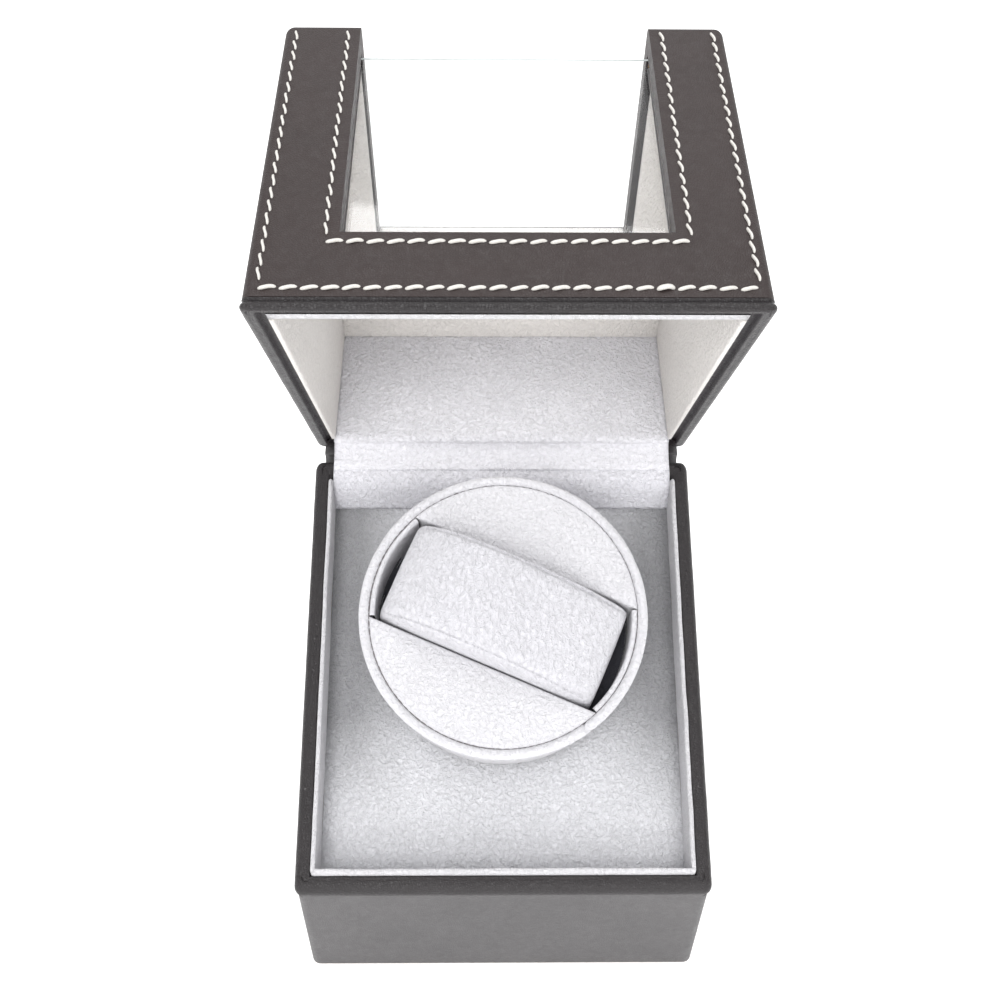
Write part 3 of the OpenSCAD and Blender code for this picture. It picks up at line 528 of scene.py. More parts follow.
def rolled_rim(name, bead, stops, up, gap, lip, ends=None):
    """Leather rolled over the edge board: a bead outside and a flat strip inside.

    stops are how far in the strip ends on the sides, front and back; up is 1 for the lid
    and -1 for the base; lip is how deep its inner edge shows and ends is where a thinner
    flap, if any, reaches.
    """
    b = Builder()
    h = 1 / cos(atan(RISE))
    start = bead - (LID_OVERHANG if up > 0 else BASE_OVERHANG)
    full = 2 * bead * h
    rings = []

    def ring(insets, t, radius=0.3):
        rings.append(inset_ring(*insets, gap + up * t, radius))

    ring((0.4,) * 3, full + 1.9, 1.7)
    ring((0.1,) * 3, full + 0.25, 1.8)
    ring((0.55,) * 3, full - 0.1, 1.7)
    for a in range(-55, 90, 9):
        d = start - bead * cos(radians(a))
        ring((d, d, max(d, 0.0)), bead * (1 - sin(radians(a))) * h, 1.9 - d * 0.4)
    for k in range(6):
        d = [start + (stop - start - 0.35) * k / 5 for stop in stops]
        ring(d, 0.05 * sin(pi * k / 5), max(0.3, 1.2 - d[0] * 0.3))
    ring([stop - 0.12 for stop in stops], 0.12)
    ring(stops, 0.4)
    ring(stops, lip)
    if ends:
        ring([(p + q) / 2 for p, q in zip(stops, ends)], lip + 0.05)
        ring(ends, lip + 0.1)
    seed = 3.0 if up > 0 else 8.0
    for points in rings:
        for i, (x, y, z) in enumerate(points):
            w = 0.6 * (wander((x, y, z), 7, 0.10, seed) + wander((x, y, z), 2.2, 0.035, seed))
            side = w if abs(x) > abs(y) else 0
            end = w if abs(y) >= abs(x) and y < 0 else 0
            # at the back it dips under the suede that runs over it
            dip = 2.2 * clamp((53.5 - y) / 3.5) * clamp((y - 46.5) / 2.5) * clamp(51.2 - abs(x))
            points[i] = (x + side, y + end, z + w + up * dip)
    b.loft(rings)
    return b.build(name, LID if up > 0 else Matrix.Identity(4), "leather_rim")


def rim_stops(gap):
    """How far in a rim's leather ends: gap short of the well's walls."""
    return [HALF - wall - gap for wall in (LINER_SIDE, LINER_FRONT, LINER_BACK)]


def base_rim():
    stops = rim_stops(LIP + 0.05)
    place(rolled_rim("base_rim_leather", BASE_BEAD, stops, -1, 0, 2.0), "base", "rim_leather", "base_rim")


def base_liner():
    """Suede-covered boards round the well, with a rounded lip above the rim."""
    b = Builder()
    r = LIP / 2
    rings = []

    def tucked(x, y):
        """1 along the back, where the liner goes under the suede that runs over the rim."""
        return clamp((y - LINER_BACK + 1.5) / 1.5) * clamp((BACK_WIDTH - abs(x)) / 0.6)

    def outline(inset, radius):
        walls = [wall + inset for wall in (LINER_SIDE, LINER_FRONT, LINER_BACK)]
        return round_rect(*walls, radius, side=70, corner=3)

    def ring(inset, h, radius):
        rings.append([(x, y, rim_z(y) + h - 4.5 * tucked(x, y)) for x, y in outline(inset, radius)])

    ring(LIP - 0.05, -3.5, 0.9)
    ring(LIP - 0.02, 0.1, 0.9)
    hidden = len(rings)
    for a in range(0, 190, 20):
        c = cos(radians(a))
        ring(r + r * c, LINER_UP - r + r * sin(radians(a)), 0.5 + 0.4 * c)
    ring(0, -0.6, 0.12)
    ring(0, -2.4, 0.12)
    top = [(x, y, rim_z(y) - 2.4) for x, y in outline(0, 0.12)]
    for k in range(1, 9):
        rings.append([(x, y, z + (deck_z(y) - 0.6 - z) * k / 8) for x, y, z in top])
    for points in rings[hidden:]:
        for i, (x, y, z) in enumerate(points):
            w = wander((x, y, z), 9, 0.14, 1.0)
            side = w if abs(x) > abs(y) else 0
            end = w if abs(y) >= abs(x) else 0
            if y > LINER_BACK - 0.5 and abs(x) < BACK_WIDTH:
                end = 0.4
            points[i] = (x + side, y + end, z + w * 0.7)
    b.loft(rings)
    place(b.build("base_liner_suede", material="suede_liner"), "base", "suede", "base_liner")


def deck():
    """Suede over the sloping deck, dipping a little where it is tucked in at the walls, and painted darker
    beside the drum and by the walls, where shade falls.
    """
    b = Builder()
    n = 84
    hole, clear = 5.6, 9  # the spindle's hole, and flat cloth round it
    slip = 0.02
    x0, x1 = slip - LINER_SIDE, LINER_SIDE - slip
    y0, y1 = slip - LINER_FRONT, LINER_BACK - slip

    def from_spindle(x, y):
        return hypot(x, (y - DRUM_FOOT.y) / cos(DECK_SLOPE))

    rows = []
    for j in range(n + 1):
        row = []
        for i in range(n + 1):
            x, y = x0 + (x1 - x0) * i / n, y0 + (y1 - y0) * j / n
            edge = min(x - x0, x1 - x, y - y0, y1 - y)
            lift = 0
            if from_spindle(x, y) >= clear:
                lift = wander((x, y, 0), 15, 0.10, 2.0) * min(1, edge / 6)
            row.append((x, y, deck_z(y) - 0.5 * exp(-edge / 0.7) + lift))
        rows.append(row)
    b.loft(rows, around=False)
    obj = b.build("deck_suede_sheet", material="suede_deck")
    bm = bmesh.new()
    bm.from_mesh(obj.data)
    to_drum = DRUM.inverted()
    inside = [v for v in bm.verts if (to_drum @ (v.co / MM)).to_2d().length < hole + 0.4]
    bmesh.ops.delete(bm, geom=inside, context="VERTS")
    for v in bm.verts:
        p = to_drum @ (v.co / MM)
        if v.is_boundary and p.to_2d().length < hole + 3:
            q = p.to_2d().normalized() * hole
            v.co = (DRUM @ Vector((q.x, q.y, p.z))) * MM
    bm.to_mesh(obj.data)
    bm.free()
    # painted shade: darker beside the drum, round its foot and along the walls, where shade falls
    painted_shade = obj.data.attributes.new("painted_shade", "FLOAT", "POINT")
    for i, v in enumerate(obj.data.vertices):
        p = v.co / MM
        beside = clamp((abs(p.x) - 24) / 18) * clamp((p.y + 34) / 26)
        foot = exp(-max(0.0, from_spindle(p.x, p.y) - 37) / 5)
        wall = exp(-(LINER_SIDE - abs(p.x)) / 3)
        painted_shade.data[i].value = min(1.0, 0.75 * beside + 0.35 * foot + 0.3 * wall)
    place(obj, "base", "suede", "deck_suede")


# ---------- drum ----------
def drum_wall():
    """Cloth round the drum, with a groove where its ends meet."""
    b = Builder()
    n = 288
    profile = [(36.9, 1.0), (37.15, 2.0), (37.2, 5.0), (37.4, 10.0), (37.65, 15.0), (37.95, 20.0),
               (38.2, 24.0), (38.25, 26.0), (37.9, 27.2)]
    rings = []
    for r, z in profile:
        ring = []
        for a in (2 * pi * i / n for i in range(n)):
            p = polar(r, a, z)
            k = r + wander(p, 12, 0.10, 4.0) + wander(p, 4, 0.03, 5.0)
            off = abs(remainder(a - JOIN_ANGLE, 2 * pi)) * r
            ring.append(polar(k - 0.35 * exp(-(off / 0.5) ** 2), a, z))
        rings.append(ring)
    b.loft(rings)
    place(b.build("drum_wall_suede", DRUM, "suede_drum"), "drum", "suede", "drum_wall")


def drum_ring():
    """Rolled cloth round the drum's top edge, pinched where its ends meet."""
    b = Builder()
    n, around = 720, 20
    rings = []
    for a in (2 * pi * i / n for i in range(n)):
        ring = []
        off = remainder(a - JOIN_ANGLE, 2 * pi) * DRUM_R
        for t in (2 * pi * k / around for k in range(around)):
            pinch = 1 - 0.42 * exp(-((off + 1.4 * sin(t)) / 0.30) ** 2)
            r = RING_R * pinch * (1 + wander(polar(DRUM_R, a, t), 6, 0.06, 6.0))
            ring.append(polar(DRUM_R - RING_R + r * cos(t), a, DRUM_H - RING_R + r * sin(t)))
        rings.append(ring)
    b.loft(rings, closed=True)
    place(b.build("drum_ring_suede", DRUM, "suede_drum"), "drum", "suede", "drum_ring")


def moon_outline(radius, v0, n_arc=96, n_chord=60):
    """Half-moon above the chord v = v0, in slot coordinates."""
    a0 = degrees(asin(v0 / radius))
    arc = arc_points(0, 0, radius, a0, 180 - a0, n_arc)
    (xa, _), (xb, _) = arc[-1], arc[0]
    return arc + [(xa + (xb - xa) * k / n_chord, v0) for k in range(1, n_chord)]


def half_moon(name, side, *replaced):
    """A padded panel beside the slot, its cloth turned down into the slot."""
    b = Builder()
    v0 = SLOT_W / 2
    top, edge = DRUM_H - 0.5, 0.7
    wall = top - edge - SLOT_FLOOR
    rings = [[(x, y, SLOT_FLOOR + wall * k / 7) for x, y in moon_outline(SEAM_R, v0)] for k in range(8)]
    for a in (radians(18 * k) for k in range(1, 6)):
        inset = edge - edge * cos(a)
        outline = moon_outline(SEAM_R - inset, v0 + inset)
        rings.append([(x, y, top - edge + edge * sin(a)) for x, y in outline])
    centre = (v0 + SEAM_R) / 2
    last = rings[-1]
    for f in (k / 15 for k in range(1, 15)):
        z = top + 0.35 * sin(pi / 2 * min(1, f * 2.2))
        rings.append([(x - x * f, y + (centre - y) * f, z) for x, y, _ in last])
    for n, ring in enumerate(rings):
        for i, (x, y, z) in enumerate(ring):
            w = wander((x, y * side, z), 11, 0.16, 7.0) if n > 3 else 0
            ring[i] = (side * x, side * y, z + w)
    b.loft(rings, cap_last=True)
    place(b.build(name, SLOT, "suede_drum"), "drum", "suede", *replaced)


def slot_lips():
    """Curved lining at the slot's two ends, rolled over at the top."""
    limit, outer = SLOT_W / 2 - 0.15, SEAM_R - 0.1
    half = asin(limit / SEAM_R)
    w = (outer - SLOT_R) / 2
    section = [(SLOT_R, SLOT_FLOOR), (SLOT_R, 16), (SLOT_R, 21), (SLOT_R, 25.5), (SLOT_R - 0.02, 27.2)]
    section += [(SLOT_R + w - w * cos(radians(a)), 27.7 + w * sin(radians(a))) for a in range(15, 181, 15)]
    section += [(outer, 26.5)]
    for side, name in ((1, "slot_lip_right"), (-1, "slot_lip_left")):
        b = Builder()
        rings = []
        for a in (-half + 2 * half * i / 60 for i in range(61)):
            ring = []
            for r, z in section:
                y = clamp(r * sin(a), -limit, limit)
                x = sqrt(r * r - y * y)
                q = wander((x, y, z), 8, 0.10, 9.0 + side)
                ring.append((side * (x + q), side * y, z + q * 0.5))
            rings.append(ring)
        b.loft(rings, around=False)
        place(b.build(name, SLOT, "suede_drum"), "drum", "suede")


def slot_floor():
    """Lining of the slot's floor, turned up a little at its ends, painted dark for the shade deep in the
    narrow slot.
    """
    b = Builder()
    half = asin(SLOT_W / 2 / SLOT_R)
    outline = [polar(SLOT_R, side - half + 2 * half * k / 24) for side in (0, pi) for k in range(25)]
    rings = [[(x * 0.999, y * 0.999, 15.5) for x, y in outline],
             [(x, y, SLOT_FLOOR + 0.6) for x, y in outline]]
    for k in range(1, 6):
        f = 1 - k / 6
        rings.append([(x * f, y * f, SLOT_FLOOR + 0.1 + 0.2 * cos(k)) for x, y in outline])
    b.loft(rings, cap_last=True)
    place(b.build("slot_floor_lining", SLOT, "suede_painted_dark"), "drum", "suede", "slot_lining")


def capsule_along(b, points, r_side, r_up, up, segments=8):
    """A tube with closed ends along points, wider than it is high."""
    rings = []
    points = [Vector(p) for p in points]
    last = len(points) - 1
    for i, p in enumerate(points):
        d = (points[min(i + 1, last)] - points[max(i - 1, 0)]).normalized()
        s = d.cross(up).normalized()
        u = s.cross(d)
        taper = {0: 0.25, 1: 0.8}.get(min(i, last - i), 1.0)
        rings.append([p + s * (r_side * taper * cos(a)) + u * (r_up * taper * sin(a))
                      for a in (2 * pi * k / segments for k in range(segments))])
    b.loft(rings, cap_first=True, cap_last=True)


def drum_seam():
    """Small dark stitches in the groove between the ring and the face."""
    b = Builder()
    rng = random.Random(5)
    pitch = 2.1
    count = int(2 * pi * SEAM_R / pitch)
    for i in range(count):
        a0 = 2 * pi * i / count
        open_side = 0.5 - 0.5 * cos(a0 - radians(20))
        a1 = a0 + (1.0 + 0.85 * open_side + rng.uniform(-0.1, 0.25)) / SEAM_R
        z = DRUM_H - 1.05 + 0.35 * open_side - rng.uniform(0, 0.2)
        pts = [polar(SEAM_R, a0 + (a1 - a0) * k / 4, z) for k in range(5)]
        capsule_along(b, pts, 0.14 + 0.09 * open_side, 0.2, UP, 6)
    place(b.build("drum_seam", DRUM, "seam"), "drum", "thread")


# ---------- watch cushion ----------
def cushion_height(u, v):
    """Height of the crowned top at u along and v across the cushion, fuller to the left."""
    t = (u + 5) / (CUSHION_L / 2 + (5 if u > -5 else -5))
    along = 10.3 * abs(t) ** (2.1 if u > -5 else 3.0)
    return CUSHION_TOP - along - 0.9 * (min(abs(v), RIDGE) / RIDGE) ** 2 + 0.05 * v


def cushion_block(shrink):
    """Closed crowned block from rings, a little smaller than the slot."""
    b = Builder()
    hl, hw = CUSHION_L / 2 - shrink, CUSHION_W / 2 - shrink
    low, drop = SLOT_FLOOR + 1.0, 4.6  # underside, and how far down the sides start

    def outline(ends, sides, r):
        return round_rect(hl - ends, hw - sides, hw - sides, r, side=30, corner=4)

    rings = [[(x, y, low) for x, y in outline(1.0, 1.0, 1.2)],
             [(x, y, low + 1.0) for x, y in outline(0.1, 0.1, 1.4)]]
    for k in range(1, 9):
        rings.append([(x, y, low + 1.0 + (cushion_height(x, y) - drop - low - 1.0) * k / 8)
                      for x, y in outline(0.0, 0.0, 1.4)])
    shoulder = ((0.05, 0.25, 3.4), (0.2, 0.7, 2.1), (0.5, 1.2, 0.9), (1.0, 1.6, 0.25), (1.7, 2.2, 0.0))
    for ends, sides, below in shoulder:
        rings.append([(x, y, cushion_height(x, y) - below) for x, y in outline(ends, sides, 1.5)])
    last = rings[-1]
    for f in (1 - k / 9 for k in range(1, 9)):
        rings.append([(x * f, y * f, cushion_height(x * f, y * f)) for x, y, z in last])
    b.loft(rings, cap_first=True, cap_last=True)
    return b


def inflate(obj, voxel, pressure, cap):
    """Blows the block up a little with a cloth simulation, at most cap mm, and keeps it."""
    modify(obj, "REMESH", mode="VOXEL", voxel_size=voxel * MM)
    keep_modifiers(obj)
    start = [v.co.copy() for v in obj.data.vertices]
    last_frame = 20
    cloth = modify(obj, "CLOTH")
    assign(cloth.settings, quality=6, mass=0.15, tension_stiffness=12, compression_stiffness=12,
           shear_stiffness=6, bending_stiffness=0.4, use_pressure=True, uniform_pressure_force=pressure)
    cloth.settings.effector_weights.gravity = 0
    cloth.collision_settings.use_collision = False
    assign(cloth.point_cache, frame_start=1, frame_end=last_frame)
    scene = bpy.context.scene
    for f in range(1, last_frame + 1):
        scene.frame_set(f)
    keep_modifiers(obj)
    for v, at in zip(obj.data.vertices, start):
        move = v.co - at
        if move.length > cap * MM:
            v.co = at + move.normalized() * cap * MM
    scene.frame_set(1)


def cushion():
    """The soft watch cushion: blown up, then its two long seams pulled in."""
    obj = cushion_block(0.35).build("watch_cushion")
    inflate(obj, voxel=1.7, pressure=4.0, cap=0.9)
    modify(obj, "SUBSURF", levels=2, render_levels=2)
    keep_modifiers(obj)
    hl, hw = CUSHION_L / 2, CUSHION_W / 2
    for v in obj.data.vertices:
        p = v.co / MM
        p.x, p.y, p.z = clamp(p.x, -hl, hl), clamp(p.y, -hw, hw), max(SLOT_FLOOR + 0.4, p.z)
        if p.z > cushion_height(p.x, p.y) - 7:
            # the seam runs along the ridge; the side panel below it is smoother and fuller
            seam = abs(p.y) - RIDGE - 0.25
            p.z -= 0.75 * exp(-(seam / 0.42) ** 2) * clamp((hl - 1.5 - abs(p.x)) / 3)
            p.z += 0.25 * exp(-((seam - 0.9) / 0.6) ** 2)
            nap = clamp((RIDGE - abs(p.y)) / 2)
            p.z += (wander(p, 4, 0.16, 11.0) + wander(p, 13, 0.4, 12.0)) * nap
        v.co = (SLOT @ p) * MM
    obj.data.materials.clear()
    obj.data.materials.append(M["suede_pillow"])
    obj.data.shade_smooth()
    place(obj, "cushion", "cushion", "pillow_cover", "pillow_core")


# ---------- lid ----------
def padded_panel(outline, to_lid, thick, edge, spacing=2.4, bulge=0.25, seed=0.0, start=None, ripple=0.10):
    """Cloth over a thin board: outline is in the panel's (u, v) plane, to_lid turns
    (u, v, height) into closed lid coordinates, start(u, v) is the height where the
    side begins, and bulge how far the middle stands up."""
    n = len(outline)
    pts = [Vector(p) for p in outline]

    def inset(k):
        ring = []
        for i in range(n):
            e0 = (pts[i] - pts[i - 1]).normalized()
            e1 = (pts[(i + 1) % n] - pts[i]).normalized()
            n0, n1 = Vector((-e0.y, e0.x)), Vector((-e1.y, e1.x))
            m = n0 + n1
            ring.append(pts[i] + m * (k / max(0.3, 1 + n0.dot(n1))))
        return ring

    rings = [[(p.x, p.y, start(p.x, p.y) if start else 0.0) for p in pts],
             [(p.x, p.y, thick - edge) for p in pts]]
    for a in (22.5, 45, 67.5, 90):
        a = radians(a)
        rings.append([(p.x, p.y, thick - edge + edge * sin(a)) for p in inset(edge * (1 - cos(a)))])
    rim = [Vector(p[:2]) for p in rings[-1]]
    lo = Vector((min(p.x for p in rim), min(p.y for p in rim)))
    hi = Vector((max(p.x for p in rim), max(p.y for p in rim)))

    def depth(p):
        best = 1e9
        for i in range(n):
            a, b = rim[i - 1], rim[i]
            ab = b - a
            f = clamp((p - a).dot(ab) / max(ab.length_squared, 1e-9))
            best = min(best, (a + ab * f - p).length)
        return best

    rng = random.Random(int(seed * 10) + 3)
    inner = []
    nx, ny = int((hi.x - lo.x) / spacing), int((hi.y - lo.y) / spacing)
    for i in range(1, nx):
        for j in range(1, ny):
            p = Vector((lo.x + (hi.x - lo.x) * i / nx + rng.uniform(-0.2, 0.2) * spacing,
                        lo.y + (hi.y - lo.y) * j / ny + rng.uniform(-0.2, 0.2) * spacing))
            if depth(p) > spacing * 0.45:
                inner.append(p)
    border = [(i, (i + 1) % n) for i in range(n)]
    flat, _, tris, *_ = delaunay_2d_cdt(rim + inner, border, [list(range(n))], 1, 1e-6)
    b = Builder()
    raised = []
    for p in flat:
        d = min(1.0, depth(p) / 6)
        raised.append((p.x, p.y, thick + bulge * d * (2 - d) + wander((p.x, p.y, 0), 8, ripple, seed) * d))
    b.loft([[to_lid(*p) for p in ring] for ring in rings])
    b.add([to_lid(*p) for p in raised], tris)
    return b


def dense(points, step=2.0):
    """Corner points with more between them, for a closed outline."""
    out = []
    for i, p in enumerate(points):
        q = points[(i + 1) % len(points)]
        k = max(1, round(dist(p, q) / step))
        out += [(p[0] + (q[0] - p[0]) * j / k, p[1] + (q[1] - p[1]) * j / k) for j in range(k)]
    return out


def foot_z(y):
    return rim_z(y) + LINER_FOOT


def lid_front_liner():
    """Suede round the window on the front wall's inner face."""
    bottom, top = foot_z(-INNER_FRONT), INNER_TOP - PAD
    outline = dense([(-INNER_X, bottom), (-INNER_X, top), (-WINDOW_X, top), (-WINDOW_X, WINDOW_Z),
                     (WINDOW_X, WINDOW_Z), (WINDOW_X, top), (INNER_X, top), (INNER_X, bottom)][::-1])

    def to_lid(u, v, h):
        return (u, -INNER_FRONT + h, v + h * RISE * max(0.0, 1 - (v - bottom) / 10))

    def start(u, v):
        return PANE_H if abs(u) < WINDOW_X + 0.1 and v > WINDOW_Z - 0.1 else 0.0

    b = padded_panel(outline, to_lid, PAD, 0.9, seed=1.5, start=start, bulge=0.15)
    place(b.build("lid_front_suede", LID, "suede_liner"), "lid", "suede_warm", "lid_front_liner")


def lid_top_liner():
    """Suede round the window on the top's inner face."""
    front, back = -INNER_FRONT + 2.2, INNER_X
    left, right, near = -WINDOW_X - 0.35, WINDOW_X + 1.6, WINDOW_BACK + 0.3
    outline = dense([(-INNER_X, front), (left, front), (left, near), (right, near),
                     (right, front), (INNER_X, front), (INNER_X, back), (-INNER_X, back)])

    def to_lid(u, v, h):
        return (u, v, INNER_TOP - h)

    def start(u, v):
        return PANE_H if left - 0.1 < u < right + 0.1 and v < near + 0.1 else 0.0

    b = padded_panel(outline, to_lid, PAD, 0.9, seed=2.5, start=start, bulge=0.15)
    place(b.build("lid_top_suede", LID, "suede_warm"), "lid", "suede_warm", "lid_top_liner")


def window_binding():
    """Leather turned in at both sides of the top window, over the pane's edge."""
    for side, name in ((-1, "lid_window_binding_left"), (1, "lid_window_binding_right")):
        near, far = sorted((side * WINDOW_X, side * (WINDOW_X + 3.5)))
        front = -INNER_FRONT + 2.4
        outline = dense([(near, front), (far, front), (far, WINDOW_BACK), (near, WINDOW_BACK)])

        def to_lid(u, v, h):
            return (u, v, INNER_TOP - 2.04 - h)

        b = padded_panel(outline, to_lid, 0.25, 0.12, seed=9.5, bulge=0.02, ripple=0.03)
        place(b.build(name, LID, "leather_rim"), "lid", "leather")


def window_sill():
    """Suede on the board's edge along the top window's near side, outside the pane."""
    path = [(WINDOW_BACK - 0.18, INNER_TOP + 0.15), (WINDOW_BACK - 0.2, INNER_TOP + 1.5),
            (WINDOW_BACK - 0.2, INNER_TOP + 3.2), (WINDOW_BACK - 0.1, LID_TOP_Z - 0.75)]
    b = bent_sheet(smooth_path(path), WINDOW_X - 0.2, 0.25, 0.3, 14.0, 0.03)
    place(b.build("lid_window_sill", LID, "suede_warm"), "lid", "suede_warm")


def pane_joint():
    """Bead of cement where the front pane's edge meets the top pane."""
    b = Builder()
    end = WINDOW_X + 3
    pts = [(x, -INNER_FRONT + 0.25 + wander((x, 0, 0), 9, 0.05, 1.0), INNER_TOP - 2.15)
           for x in (-end + 2 * end * k / 60 for k in range(61))]
    capsule_along(b, pts, 0.22, 0.22, UP)
    place(b.build("lid_pane_joint", LID, "cement"), "lid", "acrylic")


def lid_side_liners():
    """Suede-covered boards on the lid's two side walls."""
    front, back = -INNER_FRONT + PAD, INNER_X - 1.2
    top = INNER_TOP - PAD
    for side, name in ((-1, "lid_left_suede"), (1, "lid_right_suede")):
        outline = dense([(front, foot_z(front)), (back, foot_z(back)), (back, top), (front, top)])

        def to_lid(u, v, h):
            return (side * (INNER_X - h), u, v)

        b = padded_panel(outline, to_lid, 1.0, 0.5, seed=3.5 + side, bulge=0.2)
        replaced = ["lid_side_liners"] if side > 0 else []
        place(b.build(name, LID, "suede_warm"), "lid", "suede_warm", *replaced)


def lid_rear_liner():
    """Suede on the lid's rear wall, turned over the rear rim as far as the hinge."""
    face, top = INNER_X - 1.15, INNER_TOP - PAD
    foot = rim_z(face)
    path = [(face + 0.6, top + 0.2), (face, top - 0.5), (face, 125), (face, 112), (face, 104),
            (face + 0.02, foot + 3.5), (face + 0.2, foot + 2.2), (face + 0.9, foot + 1.3),
            (face + 2.2, rim_z(face + 2.2) + 0.85)]
    b = bent_sheet(smooth_path(path, 1.1), SUEDE_X + 0.05, 0.4, 0.5, 6.5, 0.12, across=90)
    place(b.build("lid_rear_suede", LID, "suede_lid"), "lid", "suede", "lid_rear_liner")


def lid_rim():
    ends = [LID_WALL - 0.05, LID_FRONT - 0.05, LID_WALL - 0.05]
    obj = rolled_rim("lid_rim_leather", LID_BEAD, rim_stops(LINER_T + 0.4), 1, LID_GAP, 1.35, ends)
    place(obj, "lid", "rim_leather", "lid_rim")


def stitch_rows():
    """Ends of each row and its plane: (from, to, outward) in closed lid coordinates."""
    xo, xi = HALF - 3.2, WINDOW_X + 3

    def u_shape(outer, inner, end, turn):
        """Rows along the outer and inner crosspiece, then on both sides from turn to end."""
        pieces = ((xo, outer), (xi, inner))
        rows = [((-x, v), (x, v)) for x, v in pieces]
        return rows + [((s * x, v + turn), (s * x, end)) for s in (-1, 1) for x, v in pieces]

    out = []
    for ends in u_shape(FRONT_Z + 6.6, WINDOW_Z - 2.2, LID_TOP_Z - 3, 2):
        out.append((*[Vector((x, -HALF, z)) for x, z in ends], Vector((0, -1, 0))))
    for ends in u_shape(HALF - 5, WINDOW_BACK + 3, -HALF + 3, -2):
        out.append((*[Vector((x, y, LID_TOP_Z)) for x, y in ends], UP))
    return out


def lid_stitches():
    """Hand-sewn waxed thread: each stitch arches out of one hole and into the next."""
    b, holes = Builder(), Builder()
    rng = random.Random(11)
    pitch = 4.25
    for a, c, out in stitch_rows():
        length = (c - a).length
        count = round(length / pitch)
        along = (c - a) / length
        across = out.cross(along)
        for i in range(count):
            slant = radians(7 + rng.uniform(-2.5, 2.5))
            d = along * cos(slant) + across * sin(slant)
            mid = a + along * (length * (i + 0.5) / count)
            half = 2.1 + rng.uniform(-0.05, 0.05)
            high = 0.60 + rng.uniform(-0.06, 0.10)
            plump = 0.92 if abs(along.x) > 0.5 else 0.68
            if a.y < -HALF + 1 and a.z < FRONT_Z + 8 and i == count - 5:
                high, plump = high + 0.4, 1.35  # the one stitch that stands out
            sway = rng.uniform(-0.12, 0.12)
            pts = []
            for k in range(11):
                f = -1 + 2 * k / 10
                lift = high * (1 - abs(f + 0.12 * (1 - f * f)) ** 2.4) - 0.36
                bow = sway * (1 - f * f) + 0.14 * sin(pi * f)
                pts.append(mid + d * half * f * (1 - 0.05 * abs(f) ** 3) + out * lift + across * bow)
            capsule_along(b, pts, 0.47 * plump, 0.42, out, 10)
            # needle holes: small dimples at the stitches' ends, in the darker rim leather as painted shade
            # in the holes and under the thread's ends
            for f in (-1, 1):
                spot = mid + d * (half + 0.05) * f
                edge = [along * cos(t) * 0.42 + across * sin(t) * 0.34
                        for t in (pi * k / 5 for k in range(10))]
                holes.loft([[spot + v + out * 0.03 for v in edge],
                            [spot + v * 0.5 - out * 0.25 for v in edge]], cap_last=True)
    place(b.build("lid_stitch_thread", LID, "thread"), "lid", "thread", "lid_stitches")
    place(holes.build("lid_needle_holes_painted_shade", LID, "leather_rim"), "lid", "rim_leather")


def bent_sheet(path, half_width, thick, ends, seed, ripple, across=70):
    """A strip along X, thick mm through, from a path of (y, z) points, with closed edges
    that thin out over the last ends mm."""
    b = Builder()
    pts = [Vector(p) for p in path]
    n = len(pts)
    steps = [(pts[min(i + 1, n - 1)] - pts[max(i - 1, 0)]).normalized() for i in range(n)]
    normals = [Vector((-d.y, d.x)) for d in steps]
    rings = []
    for k in range(across + 1):
        x = -half_width + 2 * half_width * k / across
        top, under = [], []
        for i, (p, m) in enumerate(zip(pts, normals)):
            w = wander((x, i * 0.8, 0), 6, ripple, seed) * (0 if i in (0, n - 1) else 1)
            soft = thick / 2 * (1 - (1 - min(1, (half_width - abs(x)) / ends)) ** 2 * 0.8)
            top.append((x, p.x + m.x * (soft + w), p.y + m.y * (soft + w)))
            under.append((x, p.x - m.x * (soft - w), p.y - m.y * (soft - w)))
        rings.append(top + under[::-1])
    b.loft(rings, cap_first=True, cap_last=True)
    return b


def smooth_path(points, step=0.5):
    """Catmull-Rom curve through the points."""
    pts = [Vector(p) for p in points]
    pts = [pts[0] * 2 - pts[1]] + pts + [pts[-1] * 2 - pts[-2]]
    out = []
    for i in range(1, len(pts) - 2):
        p0, p1, p2, p3 = pts[i - 1:i + 3]
        n = max(2, int((p2 - p1).length / step))
        for k in range(n):
            t = k / n
            out.append(0.5 * ((2 * p1) + (p2 - p0) * t + (2 * p0 - 5 * p1 + 4 * p2 - p3) * t * t
                              + (3 * p1 - p0 - 3 * p2 + p3) * t ** 3))
    out.append(pts[-2])
    return out


def base_back_suede():
    """Suede up the well's back wall and over the rear rim as far as the hinge."""
    face = LINER_BACK - 0.1
    path = [(face, deck_z(face) - 0.5), (face, deck_z(face) + 2.5), (face + 0.05, BACK_Z - 9.5),
            (face + 0.3, BACK_Z - 6.4), (face + 1.0, BACK_Z - 4.2), (face + 2.4, BACK_Z - 2.5),
            (face + 4.3, BACK_Z - 1.4), (HALF - 0.8, BACK_Z - 0.55)]
    b = bent_sheet(smooth_path(path, 0.9), LINER_SIDE - 0.02, 0.3, 0.5, 22.0, 0.09, across=90)
    place(b.build("base_back_suede", material="suede_back"), "base", "suede")


def hinge_strip():
    """Suede gusset stretched from the base's rear rim to the lid's."""
    lo = Vector((0, HALF - 1.45, BACK_Z - 0.5))
    hi = LID @ Vector((0, HINGE_Y, rim_z(HINGE_Y) + 0.95))
    path = [(lo.y - 1.5, lo.z - 0.75), (lo.y - 0.5, lo.z - 0.12), (lo.y + 0.25, lo.z + 0.35),
            *[(lo.y * (1 - f) + hi.y * f, lo.z * (1 - f) + hi.z * f - 0.1) for f in (0.33, 0.67)],
            (hi.y - 0.62, hi.z - 0.05), (hi.y - 0.38, hi.z + 0.55), (hi.y + 0.1, hi.z + 1.3),
            (hi.y + 0.5, hi.z + 2.0)]
    b = bent_sheet(smooth_path(path), SUEDE_X, 0.35, 0.5, 21.0, 0.14, across=90)
    obj = b.build("hinge_suede_strip", material="suede_strip")
    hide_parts("hinge_strip")
    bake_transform(obj)


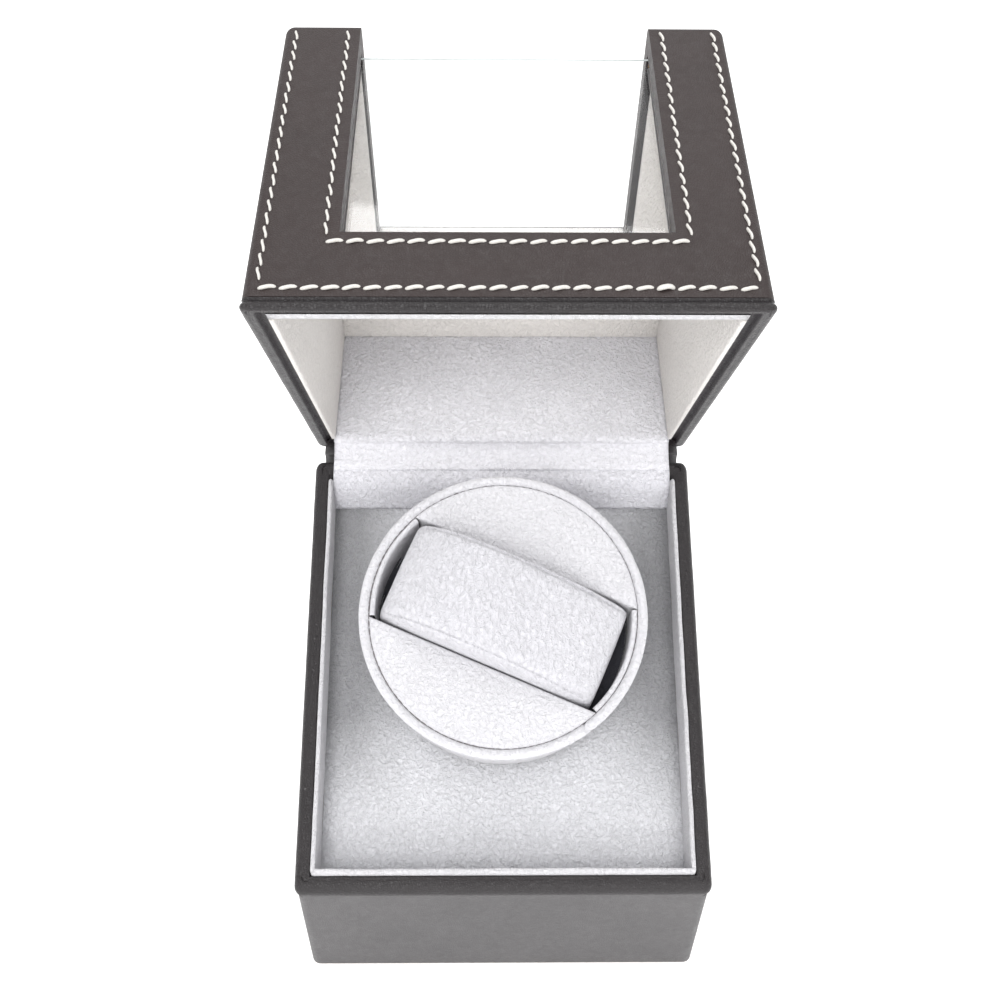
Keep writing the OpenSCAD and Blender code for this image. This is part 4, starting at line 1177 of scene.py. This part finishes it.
def spine():
    """Leather over the hinge barrel, glued down on the base's back and the lid's back."""
    leaf = HALF + 1.1
    base = [(HALF + 0.25, PIVOT.z - 18), (HALF + 0.35, PIVOT.z - 17), (leaf + 0.2, PIVOT.z - 14.5),
            (leaf + 0.3, PIVOT.z - 12), (leaf + 0.3, PIVOT.z - 7), (leaf + 0.35, PIVOT.z - 4.2)]
    wrap = arc_points(PIVOT.y, PIVOT.z, 3.05, -105, 27, 12)
    lid = [LID @ Vector((0, y, PIVOT.z + z)) for y, z in
           ((leaf + 0.35, 4.2), (leaf + 0.3, 8), (leaf + 0.3, 15), (leaf + 0.3, 20), (leaf + 0.15, 21.3),
            (HALF + 0.35, 24), (HALF + 0.25, 25))]
    path = smooth_path(base + wrap + [(p.y, p.z) for p in lid], 0.7)
    b = bent_sheet(path, 53.3, 0.5, 0.5, 31.0, 0.06)
    obj = b.build("spine_leather", material="leather_base")
    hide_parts("spine_base", "spine_lid")
    Vector((0, *wrap[0])) * MM
    Vector((0, *wrap[-1])) * MM
    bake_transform(obj)


# ---------- studio ----------
def floor():
    """A plain disc of floor, barely uneven."""
    b = Builder()
    around, radius = 64, 2600

    def ring(r, z):
        return [polar(r, 2 * pi * i / around, z) for i in range(around)]

    b.loft([ring(2, 0)] + [ring(radius * k / 24, 0.02 * sin(k)) for k in range(1, 25)], cap_first=True)
    obj = b.build("floor", material="floor")
    obj.location.z = -0.0001


def area_light(name, at, aim, size, power, height=None):
    data = assign(bpy.data.lights.new(name, "AREA"), shape="RECTANGLE", size=size,
                  size_y=height or size, energy=power)
    obj = bpy.data.objects.new(name, data)
    obj.location = at
    obj.rotation_euler = (Vector(aim) - Vector(at)).to_track_quat("-Z", "Y").to_euler()
    bpy.context.scene.collection.objects.link(obj)


def studio():
    """Even white surroundings and three soft lights, shown without a film look."""
    scene = bpy.context.scene
    world = scene.world = bpy.data.worlds.new("studio")
    world.use_nodes = True
    back = world.node_tree.nodes["Background"].inputs
    back["Color"].default_value = (1, 1, 1, 1)
    back["Strength"].default_value = 1.10
    area_light("key", (-0.22, -0.62, 0.75), (0, 0.02, 0.08), 0.38, 3.6)
    area_light("front", (0.10, -0.95, 0.35), (0, 0, 0.05), 0.8, 4.3, height=0.5)
    area_light("overhead", (0.03, 0.35, 0.95), (0, 0.07, 0.12), 0.5, 3.8)
    assign(scene.view_settings, view_transform="Standard", look="None", exposure=0, gamma=1)


def camera():
    """At the photograph's angle: above the front edge, looking down at about 45 degrees."""
    pitch, yaw, roll = radians(45.0484), radians(0.9889), radians(-0.7184)
    forward = Vector((sin(yaw) * cos(pitch), cos(yaw) * cos(pitch), -sin(pitch)))
    right = Vector((cos(yaw), -sin(yaw), 0))
    down = forward.cross(right)
    across = right * cos(roll) + down * sin(roll)
    below = down * cos(roll) - right * sin(roll)
    rotation = Matrix((across, -below, -forward)).transposed()
    data = assign(bpy.data.cameras.new("camera"), lens=43.106, sensor_width=36, clip_start=0.01)
    obj = bpy.data.objects.new("camera", data)
    obj.matrix_world = Matrix.Translation((-0.0047226, -0.2057967, 0.3425)) @ rotation.to_4x4()
    bpy.context.scene.collection.objects.link(obj)
    bpy.context.scene.camera = obj


dress_carried_nodes()
base_rim()
base_liner()
deck()
drum_wall()
drum_ring()
half_moon("drum_face_upper", 1, "drum_face")
half_moon("drum_face_lower", -1)
slot_lips()
slot_floor()
drum_seam()
cushion()
lid_front_liner()
lid_top_liner()
window_binding()
window_sill()
pane_joint()
lid_side_liners()
lid_rear_liner()
lid_rim()
lid_stitches()
base_back_suede()
hinge_strip()
spine()
floor()
studio()
camera()
